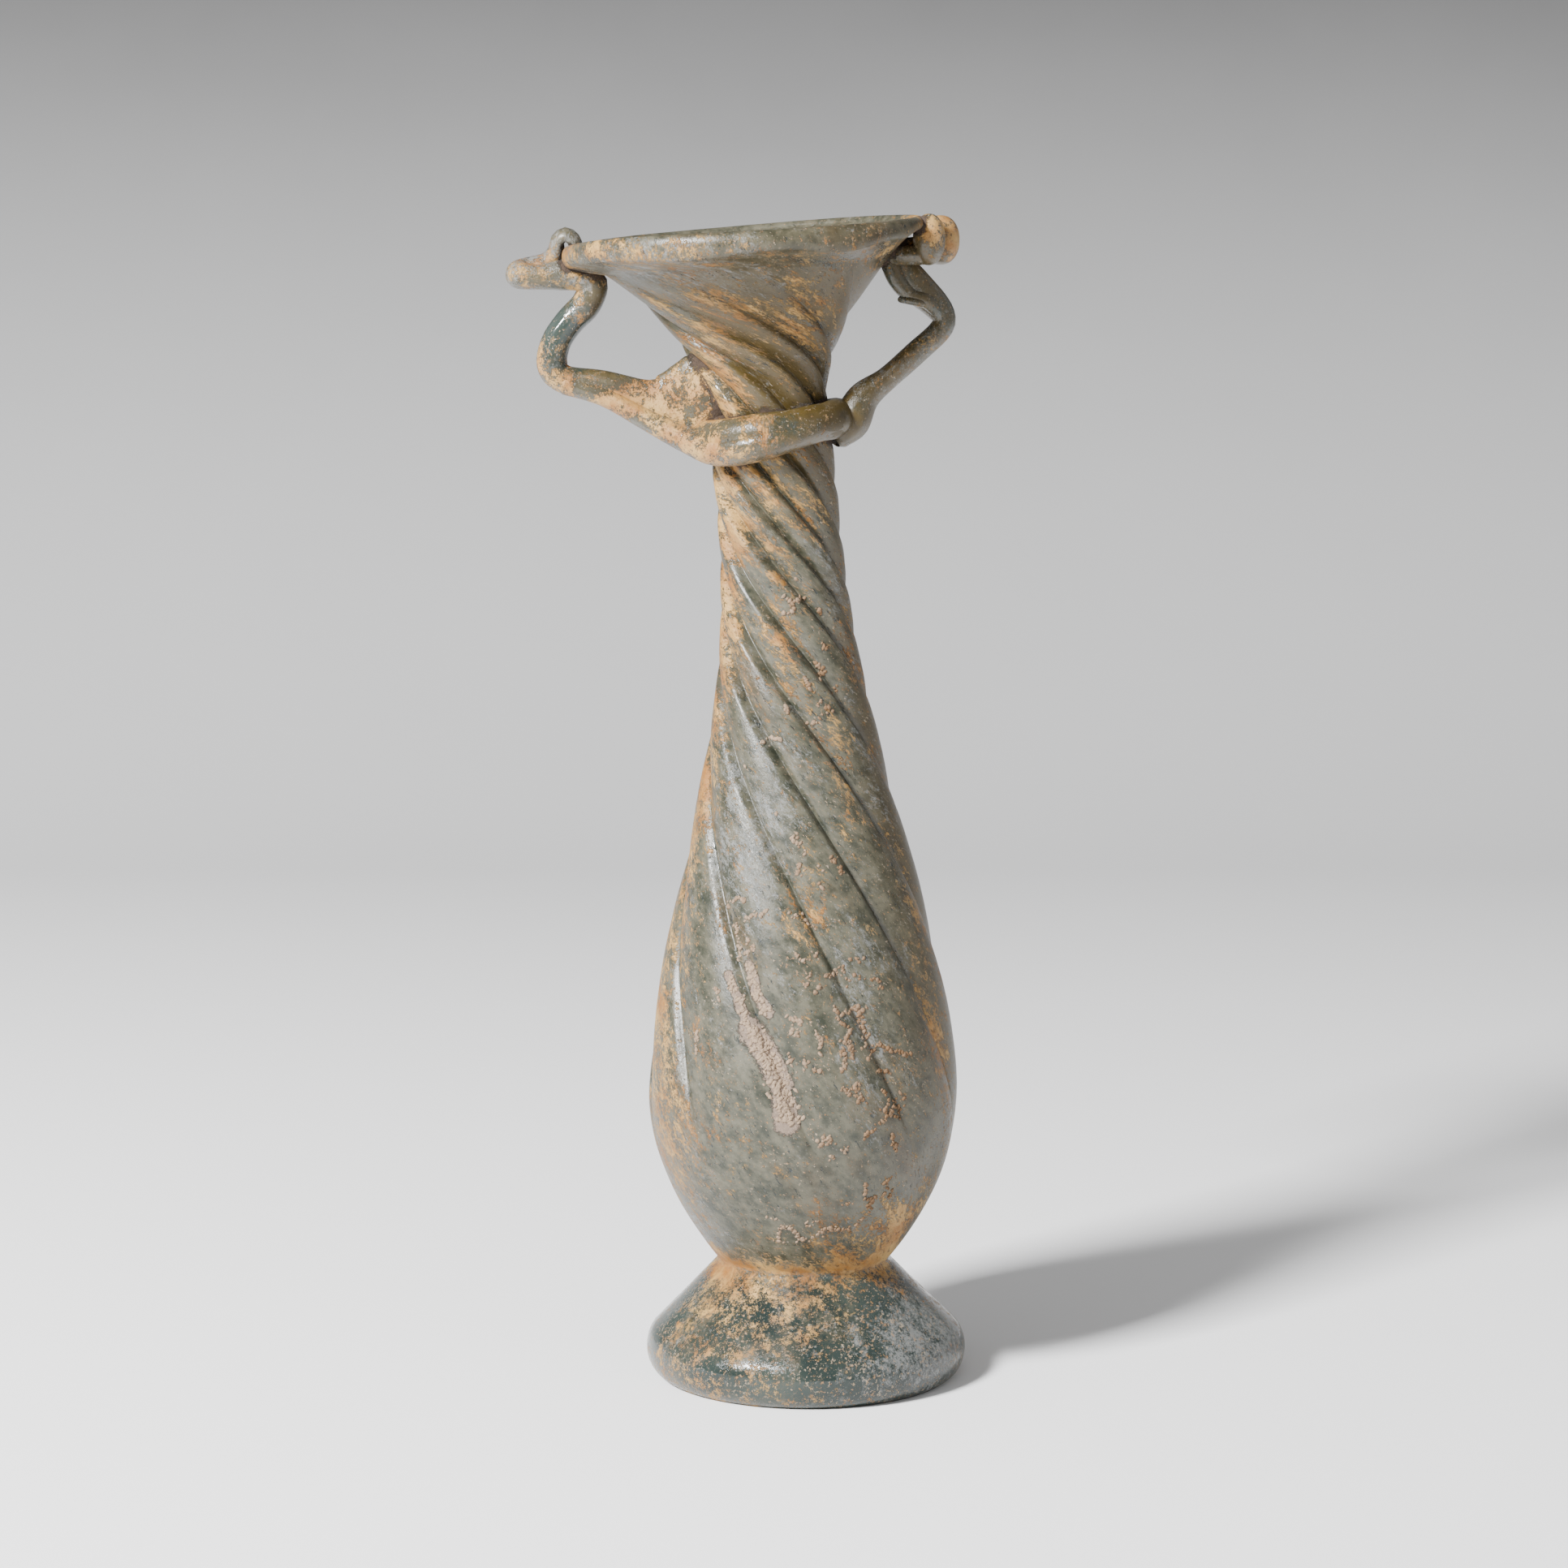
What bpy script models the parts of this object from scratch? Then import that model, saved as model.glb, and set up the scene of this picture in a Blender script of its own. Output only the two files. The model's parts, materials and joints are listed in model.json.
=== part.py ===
"""Free-blown glass vase: a folded foot, a spiral-ribbed body, a funnel mouth and two trailed handles.

Everything was fused hot, so the vase is one piece of glass, and it is one object here.
Sizes are in metres, +Z is up and the front faces -Y. The neck and mouth lean towards -X, as blown.
The origin is the middle of the underside of the vase's own box.
"""
import bisect
import math

import bmesh
import bpy
from mathutils import Vector

# Foot: a cone pushed in from below, its edge folded into a fat ring
FOOT_RADIUS = 0.02635
FOOT_EDGE_WIDTH = 0.0063
FOOT_EDGE_HEIGHT = 0.0088
FOOT_CONTACT_WIDTH = 0.0015
FOOT_WALL = 0.0030

# Body, from the waist above the foot to the narrowest place of the neck
WAIST_RADIUS = 0.0139
WAIST_HEIGHT = 0.0193
BELLY_RADIUS = 0.0254
BELLY_HEIGHT = 0.0476
NECK_RADIUS = 0.0099
BODY_OFFSET = 0.00045

# Mouth, a funnel that opens above the throat
RIM_RADIUS = 0.0292
RIM_HEIGHT = 0.1864
FUNNEL_DEPTH = 0.0264
RIM_BEAD_RADIUS = 0.0012
RIM_TILT = 0.070
RIM_BACK_LIFT = 0.0010
RIM_LEFT_DROOP = 0.0012

# Glass thickness
WALL = 0.0022
FLOOR_THICKNESS = 0.0040

# Lean of the axis towards -X, which grows with height
RIM_LEAN = 0.0097
LEAN_POWER = 3.1

# Spiral ribs: pillow-shaped lobes parted by sharp creases
RIB_COUNT = 9
RIB_DEPTH = 0.00095
NECK_RIB_TURN = 0.0690
RIB_TURN_POWER = 1.75
RIB_START = math.radians(12.0)
RIB_UNEVENNESS = math.radians(3.0)
RIB_FADE_BELOW_BELLY = 0.0136
RIB_FULL_ABOVE_BELLY = 0.0144
RIB_MOUTH_FADE = 0.40
RIB_SHARPNESS = 1.4
COLUMNS_PER_RIB = 6

# Curves of the profile, as powers of the way along each stretch
FOOT_CURVE = 2.0
SHOULDER_CURVE = (1.7, 2.6)
FUNNEL_CURVE = 1.78

# Longest steps of the grid along the profile
BODY_STEP = 0.0068
NECK_STEP = 0.0044
INSIDE_STEP = 0.0130
MOUTH_STEP = 0.0075

# Trail wound round the neck, just below the throat; the neck is narrowest from below it upwards
COIL_BELOW_THROAT = 0.0044
NARROW_BELOW_COIL = 0.0096
COIL_DROP_LEFT = 0.157
COIL_HALF_HEIGHT = 0.0031
COIL_HALF_WIDTH = 0.0026
COIL_STAND_OFF = 0.0012
COIL_STEPS = 30

# Heights that follow from the rim's
THROAT_HEIGHT = RIM_HEIGHT - FUNNEL_DEPTH
COIL_HEIGHT = THROAT_HEIGHT - COIL_BELOW_THROAT
NECK_HEIGHT = COIL_HEIGHT - NARROW_BELOW_COIL

# Trails of the handles: elbows above the coil and outside the rim, thumb pieces further out
TRAIL_SIDES = 8
LEFT_ROD_RADIUS = 0.0024
RIGHT_ROD_RADIUS = 0.0019
LEFT_ELBOW_OUT = 0.00185
LEFT_ELBOW_LIFT = 0.0104
LEFT_THUMB_OUT = 0.0066
RIGHT_ELBOW_OUT = 0.00275
RIGHT_ELBOW_LIFT = 0.0170
RIGHT_THUMB_OUT = 0.00545
RIGHT_THUMB_HEIGHT = 0.0079
RIGHT_CURL_WIDTH = 0.0062
RIGHT_CURL_DEPTH = 0.0060
RIGHT_CURL_STEP = 0.0030
CURL_FULLNESS = 0.8
TRAIL_STEP = 0.0020

GLASS_COLOUR = (0.250, 0.255, 0.205, 1.0)
GLASS_ROUGHNESS = 0.55


def clear_scene():
    for thing in list(bpy.data.objects):
        bpy.data.objects.remove(thing, do_unlink=True)


def weathered_glass():
    material = bpy.data.materials.new("weathered_glass")
    material.use_nodes = True
    shader = material.node_tree.nodes["Principled BSDF"]
    shader.inputs["Base Color"].default_value = GLASS_COLOUR
    shader.inputs["Roughness"].default_value = GLASS_ROUGHNESS
    shader.inputs["Metallic"].default_value = 0.0
    return material


def share(low, high, value):
    """How far value is on the way from low to high, from 0 to 1."""
    return min(1.0, max(0.0, (value - low) / (high - low)))


def smooth(low, high, value):
    part = share(low, high, value)
    return part * part * (3.0 - 2.0 * part)


def axis_x(height):
    """The body sits a little off the foot's middle, and leans more and more towards -X on its way up."""
    step = BODY_OFFSET * smooth(0.5 * FOOT_EDGE_HEIGHT, WAIST_HEIGHT, height)
    return -step - RIM_LEAN * (max(height, 0.0) / RIM_HEIGHT) ** LEAN_POWER


def blown_radius(height):
    """Outer radius of the blown wall over its lobes, from the waist to the rim."""
    if height <= BELLY_HEIGHT:
        way = share(WAIST_HEIGHT, BELLY_HEIGHT, height)
        return WAIST_RADIUS + (BELLY_RADIUS - WAIST_RADIUS) * (1.0 - (1.0 - way) ** FOOT_CURVE)
    if height <= NECK_HEIGHT:
        way = share(BELLY_HEIGHT, NECK_HEIGHT, height)
        fall = (1.0 - way ** SHOULDER_CURVE[0]) ** SHOULDER_CURVE[1]
        return NECK_RADIUS + (BELLY_RADIUS - NECK_RADIUS) * fall
    way = share(THROAT_HEIGHT, RIM_HEIGHT, height)
    return NECK_RADIUS + (RIM_RADIUS - RIM_BEAD_RADIUS - NECK_RADIUS) * way ** FUNNEL_CURVE


def slope(height):
    """Change of the outer radius with height."""
    reach = 0.0002
    low = max(WAIST_HEIGHT, height - reach)
    high = min(RIM_HEIGHT, height + reach)
    return (blown_radius(high) - blown_radius(low)) / (high - low)


def spiral_table(count=400):
    """Heights, and how far the ribs have turned between each and the rim.

    A twist given to the gather stretches out with it, so the spiral is tight where the vase is thin.
    """
    heights = [WAIST_HEIGHT + (RIM_HEIGHT - WAIST_HEIGHT) * k / count for k in range(count + 1)]
    turns = [0.0] * (count + 1)
    for k in range(count - 1, -1, -1):
        middle = 0.5 * (heights[k] + heights[k + 1])
        rate = 2.0 * math.pi / NECK_RIB_TURN * (NECK_RADIUS / blown_radius(middle)) ** RIB_TURN_POWER
        turns[k] = turns[k + 1] + rate * (heights[k + 1] - heights[k])
    return heights, turns


SPIRAL = spiral_table()


def spiral(height):
    """Turn of a rib at a height, counted from the rim down."""
    heights, turns = SPIRAL
    if height <= heights[0]:
        return turns[0]
    if height >= heights[-1]:
        return 0.0
    above = bisect.bisect_right(heights, height)
    way = (height - heights[above - 1]) / (heights[above] - heights[above - 1])
    return turns[above - 1] + way * (turns[above] - turns[above - 1])


def rib_sink(height, phase):
    """How far the surface lies below its lobes: deepest in a crease, nothing at mid lobe."""
    strength = smooth(BELLY_HEIGHT - RIB_FADE_BELOW_BELLY, BELLY_HEIGHT + RIB_FULL_ABOVE_BELLY, height)
    fade_from = THROAT_HEIGHT + RIB_MOUTH_FADE * (RIM_HEIGHT - THROAT_HEIGHT)
    strength *= 1.0 - smooth(fade_from, RIM_HEIGHT, height)
    pillow = abs(math.sin(0.5 * phase))
    return RIB_DEPTH * strength * (1.0 - pillow) ** RIB_SHARPNESS


def outer_heights():
    """Heights of the outer wall's rows, from just above the waist to just under the rim bead."""
    heights = []
    height = WAIST_HEIGHT
    top = RIM_HEIGHT - RIM_BEAD_RADIUS
    while True:
        lean = math.hypot(1.0, slope(height))
        step = BODY_STEP if blown_radius(height) > 1.7 * NECK_RADIUS else NECK_STEP
        height += step / lean
        if height > top - 0.4 * step / lean:
            return heights
        heights.append(height)


def inner_rows():
    """Inner wall, the wall's thickness inside the blown curve, from the floor up to the mouth."""
    floor = WAIST_HEIGHT - FOOT_WALL + FLOOR_THICKNESS
    rows = [(0.0, floor)]
    height = WAIST_HEIGHT + 1.6 * FLOOR_THICKNESS
    rows.append((0.45 * WAIST_RADIUS, floor + 0.10 * FLOOR_THICKNESS))
    rows.append((WAIST_RADIUS - WALL, floor + 0.45 * FLOOR_THICKNESS))
    top = RIM_HEIGHT - RIM_BEAD_RADIUS
    while height < top:
        lean = math.hypot(1.0, slope(height))
        rows.append((blown_radius(height) - WALL / lean, height + WALL * slope(height) / lean))
        step = INSIDE_STEP if height < COIL_HEIGHT else MOUTH_STEP
        height += step / lean
    return rows


def bead_rows(count=5):
    """Fire-rounded rim, from its inner side over the top and down its outer side."""
    centre_radius = RIM_RADIUS - RIM_BEAD_RADIUS
    rows = []
    for k in range(count):
        angle = math.radians(150.0 - 185.0 * k / (count - 1))
        radius = centre_radius + RIM_BEAD_RADIUS * math.cos(angle)
        rows.append((radius, RIM_HEIGHT + RIM_BEAD_RADIUS * math.sin(angle)))
    return rows


def foot_rows():
    """Foot, from the waist down its cone, round the folded edge and up the pushed-in underside."""
    half_width = 0.5 * FOOT_EDGE_WIDTH
    half_height = 0.5 * FOOT_EDGE_HEIGHT
    edge_centre = FOOT_RADIUS - half_width
    leave = math.radians(58.0)
    edge_top = (edge_centre + half_width * math.cos(leave), half_height + half_height * math.sin(leave))
    rows = []
    for k in range(3):
        way = k / 3.0
        radius = WAIST_RADIUS + (edge_top[0] - WAIST_RADIUS) * way
        rows.append((radius, WAIST_HEIGHT + (edge_top[1] - WAIST_HEIGHT) * way))
    for degrees in (58.0, 28.0, 0.0, -32.0, -58.0):
        angle = math.radians(degrees)
        rows.append((edge_centre + half_width * math.cos(angle), half_height * (1.0 + math.sin(angle))))
    rows.append((edge_centre + 0.5 * FOOT_CONTACT_WIDTH, 0.0))
    rows.append((edge_centre - 0.5 * FOOT_CONTACT_WIDTH, 0.0))
    rows.append((edge_centre - 0.85 * half_width, 0.45 * half_height))
    lift = WAIST_HEIGHT - FOOT_WALL
    rows.append((edge_centre - half_width - 0.4 * FOOT_WALL, 0.45 * FOOT_EDGE_HEIGHT + 0.25 * FOOT_WALL))
    rows.append((WAIST_RADIUS - 0.5 * FOOT_WALL, lift - 0.9 * FOOT_WALL))
    rows.append((0.45 * WAIST_RADIUS, lift - 0.15 * FOOT_WALL))
    rows.append((0.0, lift))
    return rows


def place(radius, height, angle):
    """A point of the vase: leaned, and tilted with the mouth."""
    x = radius * math.cos(angle)
    y = radius * math.sin(angle)
    mouth = smooth(COIL_HEIGHT, RIM_HEIGHT, height)
    back = 0.5 * RIM_BACK_LIFT * (y / RIM_RADIUS) * (1.0 + x / RIM_RADIUS)
    droop = RIM_LEFT_DROOP * max(0.0, -x / RIM_RADIUS) ** 6
    return Vector((axis_x(height) + x, y, height + mouth * (RIM_TILT * x + back - droop)))


def add_ring(mesh, radius, height, turn, ribbed):
    """One row of the grid; a row of no radius is a pole."""
    if radius == 0.0:
        return [mesh.verts.new(place(0.0, height, 0.0))]
    count = RIB_COUNT * COLUMNS_PER_RIB
    ring = []
    for k in range(count):
        start = 2.0 * math.pi * k / count
        sink = rib_sink(height, RIB_COUNT * start) if ribbed else 0.0
        uneven = RIB_UNEVENNESS * math.sin(2.0 * start)
        ring.append(mesh.verts.new(place(radius - sink, height, start + uneven + RIB_START + turn)))
    return ring


def join_rings(mesh, first, second):
    """Faces between two rows, where either may be a pole."""
    count = max(len(first), len(second))
    for k in range(count):
        after = (k + 1) % count
        if len(first) == 1:
            mesh.faces.new((first[0], second[k], second[after]))
        elif len(second) == 1:
            mesh.faces.new((first[k], second[0], first[after]))
        else:
            mesh.faces.new((first[k], second[k], second[after], first[after]))


def finish_mesh(name, mesh, material):
    """Turn a grid into a smooth-shaded object with its faces pointing out."""
    bmesh.ops.recalc_face_normals(mesh, faces=mesh.faces)
    data = bpy.data.meshes.new(name)
    mesh.to_mesh(data)
    mesh.free()
    data.materials.append(material)
    data.shade_smooth()
    data.set_sharp_from_angle(angle=math.radians(60.0))
    thing = bpy.data.objects.new(name, data)
    bpy.context.scene.collection.objects.link(thing)
    return thing


def blown_vessel(material):
    """The blown wall as one closed skin: inside floor, inner wall, rim, outer wall, foot, underside."""
    mesh = bmesh.new()
    rings = []
    for radius, height in inner_rows():
        rings.append(add_ring(mesh, radius, height, 0.0, False))
    for radius, height in bead_rows():
        rings.append(add_ring(mesh, radius, height, 0.0, False))
    for height in reversed(outer_heights()):
        rings.append(add_ring(mesh, blown_radius(height), height, spiral(height), True))
    for radius, height in foot_rows():
        rings.append(add_ring(mesh, radius, height, spiral(WAIST_HEIGHT), False))
    for k in range(len(rings) - 1):
        join_rings(mesh, rings[k], rings[k + 1])
    return finish_mesh("glass_vase", mesh, material)


def trail(name, path, material):
    """A trail of hot glass: an oval section swept along a smooth curve through the path's stations.

    Each station is a place, and the section's half thickness across and along the trail's flat.
    """
    stations = []
    for k in range(len(path) - 1):
        before = path[max(k - 1, 0)]
        here = path[k]
        after = path[k + 1]
        beyond = path[min(k + 2, len(path) - 1)]
        steps = max(1, round((Vector(after[:3]) - Vector(here[:3])).length / TRAIL_STEP))
        for step in range(steps):
            stations.append(curve_between(before, here, after, beyond, step / steps))
    stations.append(path[-1])
    mesh = bmesh.new()
    rings = []
    across = Vector((0.0, 1.0, 0.0))
    for k, station in enumerate(stations):
        start = Vector(stations[max(k - 1, 0)][:3])
        end = Vector(stations[min(k + 1, len(stations) - 1)][:3])
        along = (end - start).normalized()
        across = (across - along * across.dot(along)).normalized()
        up = along.cross(across)
        rings.append(oval(mesh, Vector(station[:3]), across * station[3], up * station[4]))
    for k in range(len(rings) - 1):
        join_rings(mesh, rings[k], rings[k + 1])
    mesh.faces.new(rings[0])
    mesh.faces.new(rings[-1])
    thing = finish_mesh(name, mesh, material)
    thing.hide_render = True
    thing.display_type = "WIRE"
    return thing


def curve_between(before, here, after, beyond, way):
    """A Catmull-Rom curve through the stations."""
    result = []
    for a, b, c, d in zip(before, here, after, beyond):
        bend = 2.0 * a - 5.0 * b + 4.0 * c - d
        twist = 3.0 * (b - c) + d - a
        result.append(b + 0.5 * way * ((c - a) + way * (bend + way * twist)))
    return tuple(result)


def oval(mesh, centre, across, up):
    ring = []
    for k in range(TRAIL_SIDES):
        angle = 2.0 * math.pi * k / TRAIL_SIDES
        ring.append(mesh.verts.new(centre + across * math.cos(angle) + up * math.sin(angle)))
    return ring


def neck_coil(material):
    """Fat trail round the neck, lower on its left side."""
    mesh = bmesh.new()
    rings = []
    radius = blown_radius(COIL_HEIGHT) + COIL_STAND_OFF
    for k in range(COIL_STEPS):
        angle = 2.0 * math.pi * k / COIL_STEPS
        outward = Vector((math.cos(angle), math.sin(angle), 0.0))
        x = radius * math.cos(angle)
        height = COIL_HEIGHT + COIL_DROP_LEFT * x
        centre = Vector((axis_x(height), 0.0, height)) + outward * radius
        rings.append(oval(mesh, centre, outward * COIL_HALF_WIDTH, Vector((0.0, 0.0, COIL_HALF_HEIGHT))))
    for k in range(COIL_STEPS):
        join_rings(mesh, rings[k], rings[(k + 1) % COIL_STEPS])
    thing = finish_mesh("neck_coil", mesh, material)
    thing.hide_render = True
    thing.display_type = "WIRE"
    return thing


def left_handle(material):
    """Left trail: a broad arm off the coil, a round rod up to the mouth and a thumb loop beyond it."""
    rod = LEFT_ROD_RADIUS
    coil = COIL_HEIGHT
    axis = axis_x(coil)
    side = blown_radius(coil)
    root = axis - side
    rim_side = axis_x(RIM_HEIGHT) - RIM_RADIUS
    rim_low = RIM_HEIGHT - RIM_TILT * RIM_RADIUS
    elbow = rim_side - LEFT_ELBOW_OUT
    low = coil + LEFT_ELBOW_LIFT
    arm = elbow - root
    tip = rim_side - LEFT_THUMB_OUT
    path = [
        (axis - 0.0014, -side - 0.0005, coil - 0.0003, 0.0018, 0.0024),
        (axis - 0.0054, -side + 0.0003, coil - 0.0016, 0.0022, 0.0034),
        (root + 0.0002, -side + 0.0043, coil + 0.0012, 0.0021, 0.0052),
        (root - 0.0038, -0.0026, coil + 0.0038, 0.0020, 0.0060),
        (root - 0.0066, -0.0012, coil + 0.0040, 0.0019, 0.0050),
        (root - 0.0100, -0.0004, coil + 0.0045, 0.0020, 0.0036),
        (root + 0.64 * arm, 0.0, coil + 0.0066, 0.0020, 0.0027),
        (root + 0.91 * arm, 0.0, low - 0.0027, rod, 0.0025),
        (elbow + 0.0002, 0.0, low - 0.0002, rod, 0.0025),
        (elbow + 0.0009, 0.0, low + 0.0034, rod, rod),
        (elbow + 0.0030, 0.0, low + 0.0066, rod, rod),
        (elbow + 0.0058, 0.0, low + 0.0096, rod, rod),
        (rim_side + 0.0050, -0.0002, rim_low - 0.0056, rod, rod),
        (rim_side + 0.0028, -0.0006, rim_low - 0.0045, 0.0023, 0.0023),
        (rim_side - 0.0004, -0.0010, rim_low - 0.0043, 0.0022, 0.0024),
        (tip + 0.0036, -0.0012, rim_low - 0.0046, 0.0020, 0.0020),
        (tip, -0.0008, rim_low - 0.0043, 0.0021, 0.0022),
    ]
    return [trail("left_trail", path, material), left_thumb_loop(tip, rim_side, rim_low, material)]


def left_thumb_loop(tip, rim_side, rim_low, material):
    """End of the left trail, doubled back over itself and drawn over the rim into the mouth."""
    path = [
        (tip + 0.0002, -0.0002, rim_low - 0.0041, 0.0019, 0.0019),
        (tip + 0.0004, 0.0016, rim_low - 0.0037, 0.0021, 0.0021),
        (tip + 0.0042, 0.0020, rim_low - 0.0022, 0.0018, 0.0015),
        (rim_side - 0.0008, 0.0014, rim_low - 0.0002, 0.0017, 0.0013),
        (rim_side - 0.0007, 0.0007, rim_low + 0.0012, 0.0016, 0.0011),
        (rim_side + 0.0006, 0.0001, rim_low + 0.0022, 0.0015, 0.0010),
        (rim_side + 0.0019, 0.0, rim_low + 0.0015, 0.0014, 0.0010),
        (rim_side + 0.0024, 0.0, rim_low + 0.0002, 0.0014, 0.0010),
    ]
    return trail("left_thumb_loop", path, material)


def right_handle(material):
    """Right trail: a blob root on the coil, a bent rod to the mouth, and a thumb knob of two curls."""
    rod = RIGHT_ROD_RADIUS
    coil = COIL_HEIGHT
    root = axis_x(coil) + blown_radius(coil)
    rim_side = axis_x(RIM_HEIGHT) + RIM_RADIUS
    rim_high = RIM_HEIGHT + RIM_TILT * RIM_RADIUS
    elbow = rim_side + RIGHT_ELBOW_OUT
    low = coil + RIGHT_ELBOW_LIFT
    path = [
        (root + 0.0018, -0.0016, coil - 0.0006, 0.0024, 0.0024),
        (root + 0.0032, -0.0008, coil + 0.0012, 0.0029, 0.0030),
        (root + 0.0052, 0.0, coil + 0.0050, 0.0026, 0.0026),
        (root + 0.0090, 0.0, coil + 0.0081, rod, rod),
        (elbow - 0.0042, 0.0, low - 0.0048, rod, rod),
        (elbow - 0.0006, 0.0, low - 0.0015, rod, rod),
        (elbow + 0.0002, 0.0, low + 0.0006, rod, rod),
        (elbow - 0.0014, 0.0, low + 0.0030, 0.0020, 0.0023),
        (elbow - 0.0050, 0.0, low + 0.0064, 0.0021, 0.0028),
        (rim_side - 0.0050, 0.0, rim_high - 0.0056, 0.0021, 0.0022),
        (rim_side - 0.0036, -0.0003, rim_high - 0.0043, 0.0021, 0.0019),
        (rim_side - 0.0008, -0.0006, rim_high - 0.0040, 0.0020, 0.0018),
    ]
    return trail("right_trail", path, material)


def right_thumb_knob(material):
    """Two curls at the right trail's end, folded flat against each other, the front one over the rim."""
    half = (0.5 * RIGHT_CURL_WIDTH, 0.5 * RIGHT_CURL_DEPTH, 0.5 * RIGHT_THUMB_HEIGHT)
    middle = RIM_HEIGHT + RIM_TILT * RIM_RADIUS - 0.4 * RIGHT_THUMB_HEIGHT + RIM_BEAD_RADIUS
    tip = axis_x(RIM_HEIGHT) + RIM_RADIUS + RIGHT_THUMB_OUT
    back = Vector((tip - half[0], 0.35 * RIGHT_CURL_DEPTH, middle))
    front = back - Vector((RIGHT_CURL_STEP, 0.5 * RIGHT_CURL_DEPTH, 0.0))
    return [curl("front_curl", front, half, material), curl("back_curl", back, half, material)]


def curl(name, centre, half, material):
    """One tight curl of the trail, read as a disc with full round shoulders."""
    mesh = bmesh.new()
    bmesh.ops.create_uvsphere(mesh, u_segments=12, v_segments=9, radius=1.0)
    for vertex in mesh.verts:
        full = [math.copysign(abs(value) ** CURL_FULLNESS, value) for value in vertex.co]
        vertex.co = centre + Vector([full[axis] * half[axis] for axis in range(3)])
    thing = finish_mesh(name, mesh, material)
    thing.hide_render = True
    thing.display_type = "WIRE"
    return thing


def fuse(vessel, added):
    """Join a trail to the vase as one body of glass."""
    union = vessel.modifiers.new("fuse_" + added.name, "BOOLEAN")
    union.operation = "UNION"
    union.solver = "MANIFOLD"
    union.object = added


def stand_on_origin(things):
    """Parent everything to an empty that puts the box's bottom middle on the origin."""
    corners = [vertex.co for thing in things for vertex in thing.data.vertices]
    low = [min(corner[axis] for corner in corners) for axis in range(3)]
    high = [max(corner[axis] for corner in corners) for axis in range(3)]
    base = bpy.data.objects.new("vase_base", None)
    bpy.context.scene.collection.objects.link(base)
    base.location = (-0.5 * (low[0] + high[0]), -0.5 * (low[1] + high[1]), -low[2])
    for thing in things:
        thing.parent = base


def main():
    clear_scene()
    glass = weathered_glass()
    vessel = blown_vessel(glass)
    trails = [neck_coil(glass), right_handle(glass)] + left_handle(glass) + right_thumb_knob(glass)
    for added in trails:
        fuse(vessel, added)
    stand_on_origin([vessel] + trails)


main()
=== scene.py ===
# %% [markdown]
# # A blown glass vase, weathered in the ground
#
# The real object was blown, twisted and trimmed in a few minutes, then lay in soil for centuries.
# This lesson builds both halves of that story around a finished CAD model of the vase:
# first the glass, as one fine mesh, and then the film, the loss and the earth that time left on it.
# The CAD model gives the size and the place of everything, so it is loaded first and never changed.

# %% Load the CAD model and keep its measures
import bisect
import json
import random
from math import atan2, copysign, cos, degrees, exp, hypot, pi, radians, sin

import bmesh
import bpy
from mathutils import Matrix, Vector, noise
from mathutils.bvhtree import BVHTree


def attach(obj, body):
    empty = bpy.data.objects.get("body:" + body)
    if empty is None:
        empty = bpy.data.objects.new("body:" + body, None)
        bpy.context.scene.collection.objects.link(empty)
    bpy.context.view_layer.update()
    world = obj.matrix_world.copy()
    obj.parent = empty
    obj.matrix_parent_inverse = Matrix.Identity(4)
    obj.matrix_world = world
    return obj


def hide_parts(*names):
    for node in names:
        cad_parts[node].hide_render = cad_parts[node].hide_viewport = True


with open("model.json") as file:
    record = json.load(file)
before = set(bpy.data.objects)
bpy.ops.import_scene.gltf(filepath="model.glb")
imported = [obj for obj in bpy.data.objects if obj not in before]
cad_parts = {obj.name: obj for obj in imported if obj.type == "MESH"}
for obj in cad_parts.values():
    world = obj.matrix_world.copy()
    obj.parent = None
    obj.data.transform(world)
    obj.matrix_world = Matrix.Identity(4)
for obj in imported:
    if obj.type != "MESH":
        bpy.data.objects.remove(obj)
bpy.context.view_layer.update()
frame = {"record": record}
foot_x = frame["record"]["mounts"][0]["pos_m"][0]
print("The foot's centre is at x = %.1f mm" % (1000 * foot_x))

# %% [markdown]
# ## The blown profile
#
# A few radii and heights draw a blown vessel, joined by curves that are powers of the way between them.
# A lathe modifier could turn the same profile, but the ribs and the leaning neck break its symmetry, so
# plain functions of the height are used, and later steps call them. All sizes are in metres, and x is
# measured from the foot's centre until the mesh is made.

# %% Sizes of the foot, body, neck and mouth
FOOT_RADIUS = 0.02635
FOOT_EDGE_WIDTH = 0.0063
FOOT_EDGE_HEIGHT = 0.0088
FOOT_CONTACT_WIDTH = 0.0015
FOOT_WALL = 0.0030
WAIST_RADIUS = 0.0139
WAIST_HEIGHT = 0.0193
BELLY_RADIUS = 0.0254
BELLY_HEIGHT = 0.0476
NECK_RADIUS = 0.0099
NECK_HEIGHT = 0.1460
THROAT_HEIGHT = 0.1600
RIM_RADIUS = 0.0292
RIM_HEIGHT = 0.1864
RIM_BEAD_RADIUS = 0.0012
COIL_HEIGHT = 0.1556
WALL = 0.0022
FLOOR_THICKNESS = 0.0040
SHOULDER_POWER = 1.7
TAPER_POWER = 2.6
MOUTH_POWER = 1.78


def share(low, high, value):
    """How far value is on the way from low to high, from 0 to 1."""
    return min(1.0, max(0.0, (value - low) / (high - low)))


def smooth(low, high, value):
    """The same, with a soft start and end."""
    part = share(low, high, value)
    return part * part * (3.0 - 2.0 * part)


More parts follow.
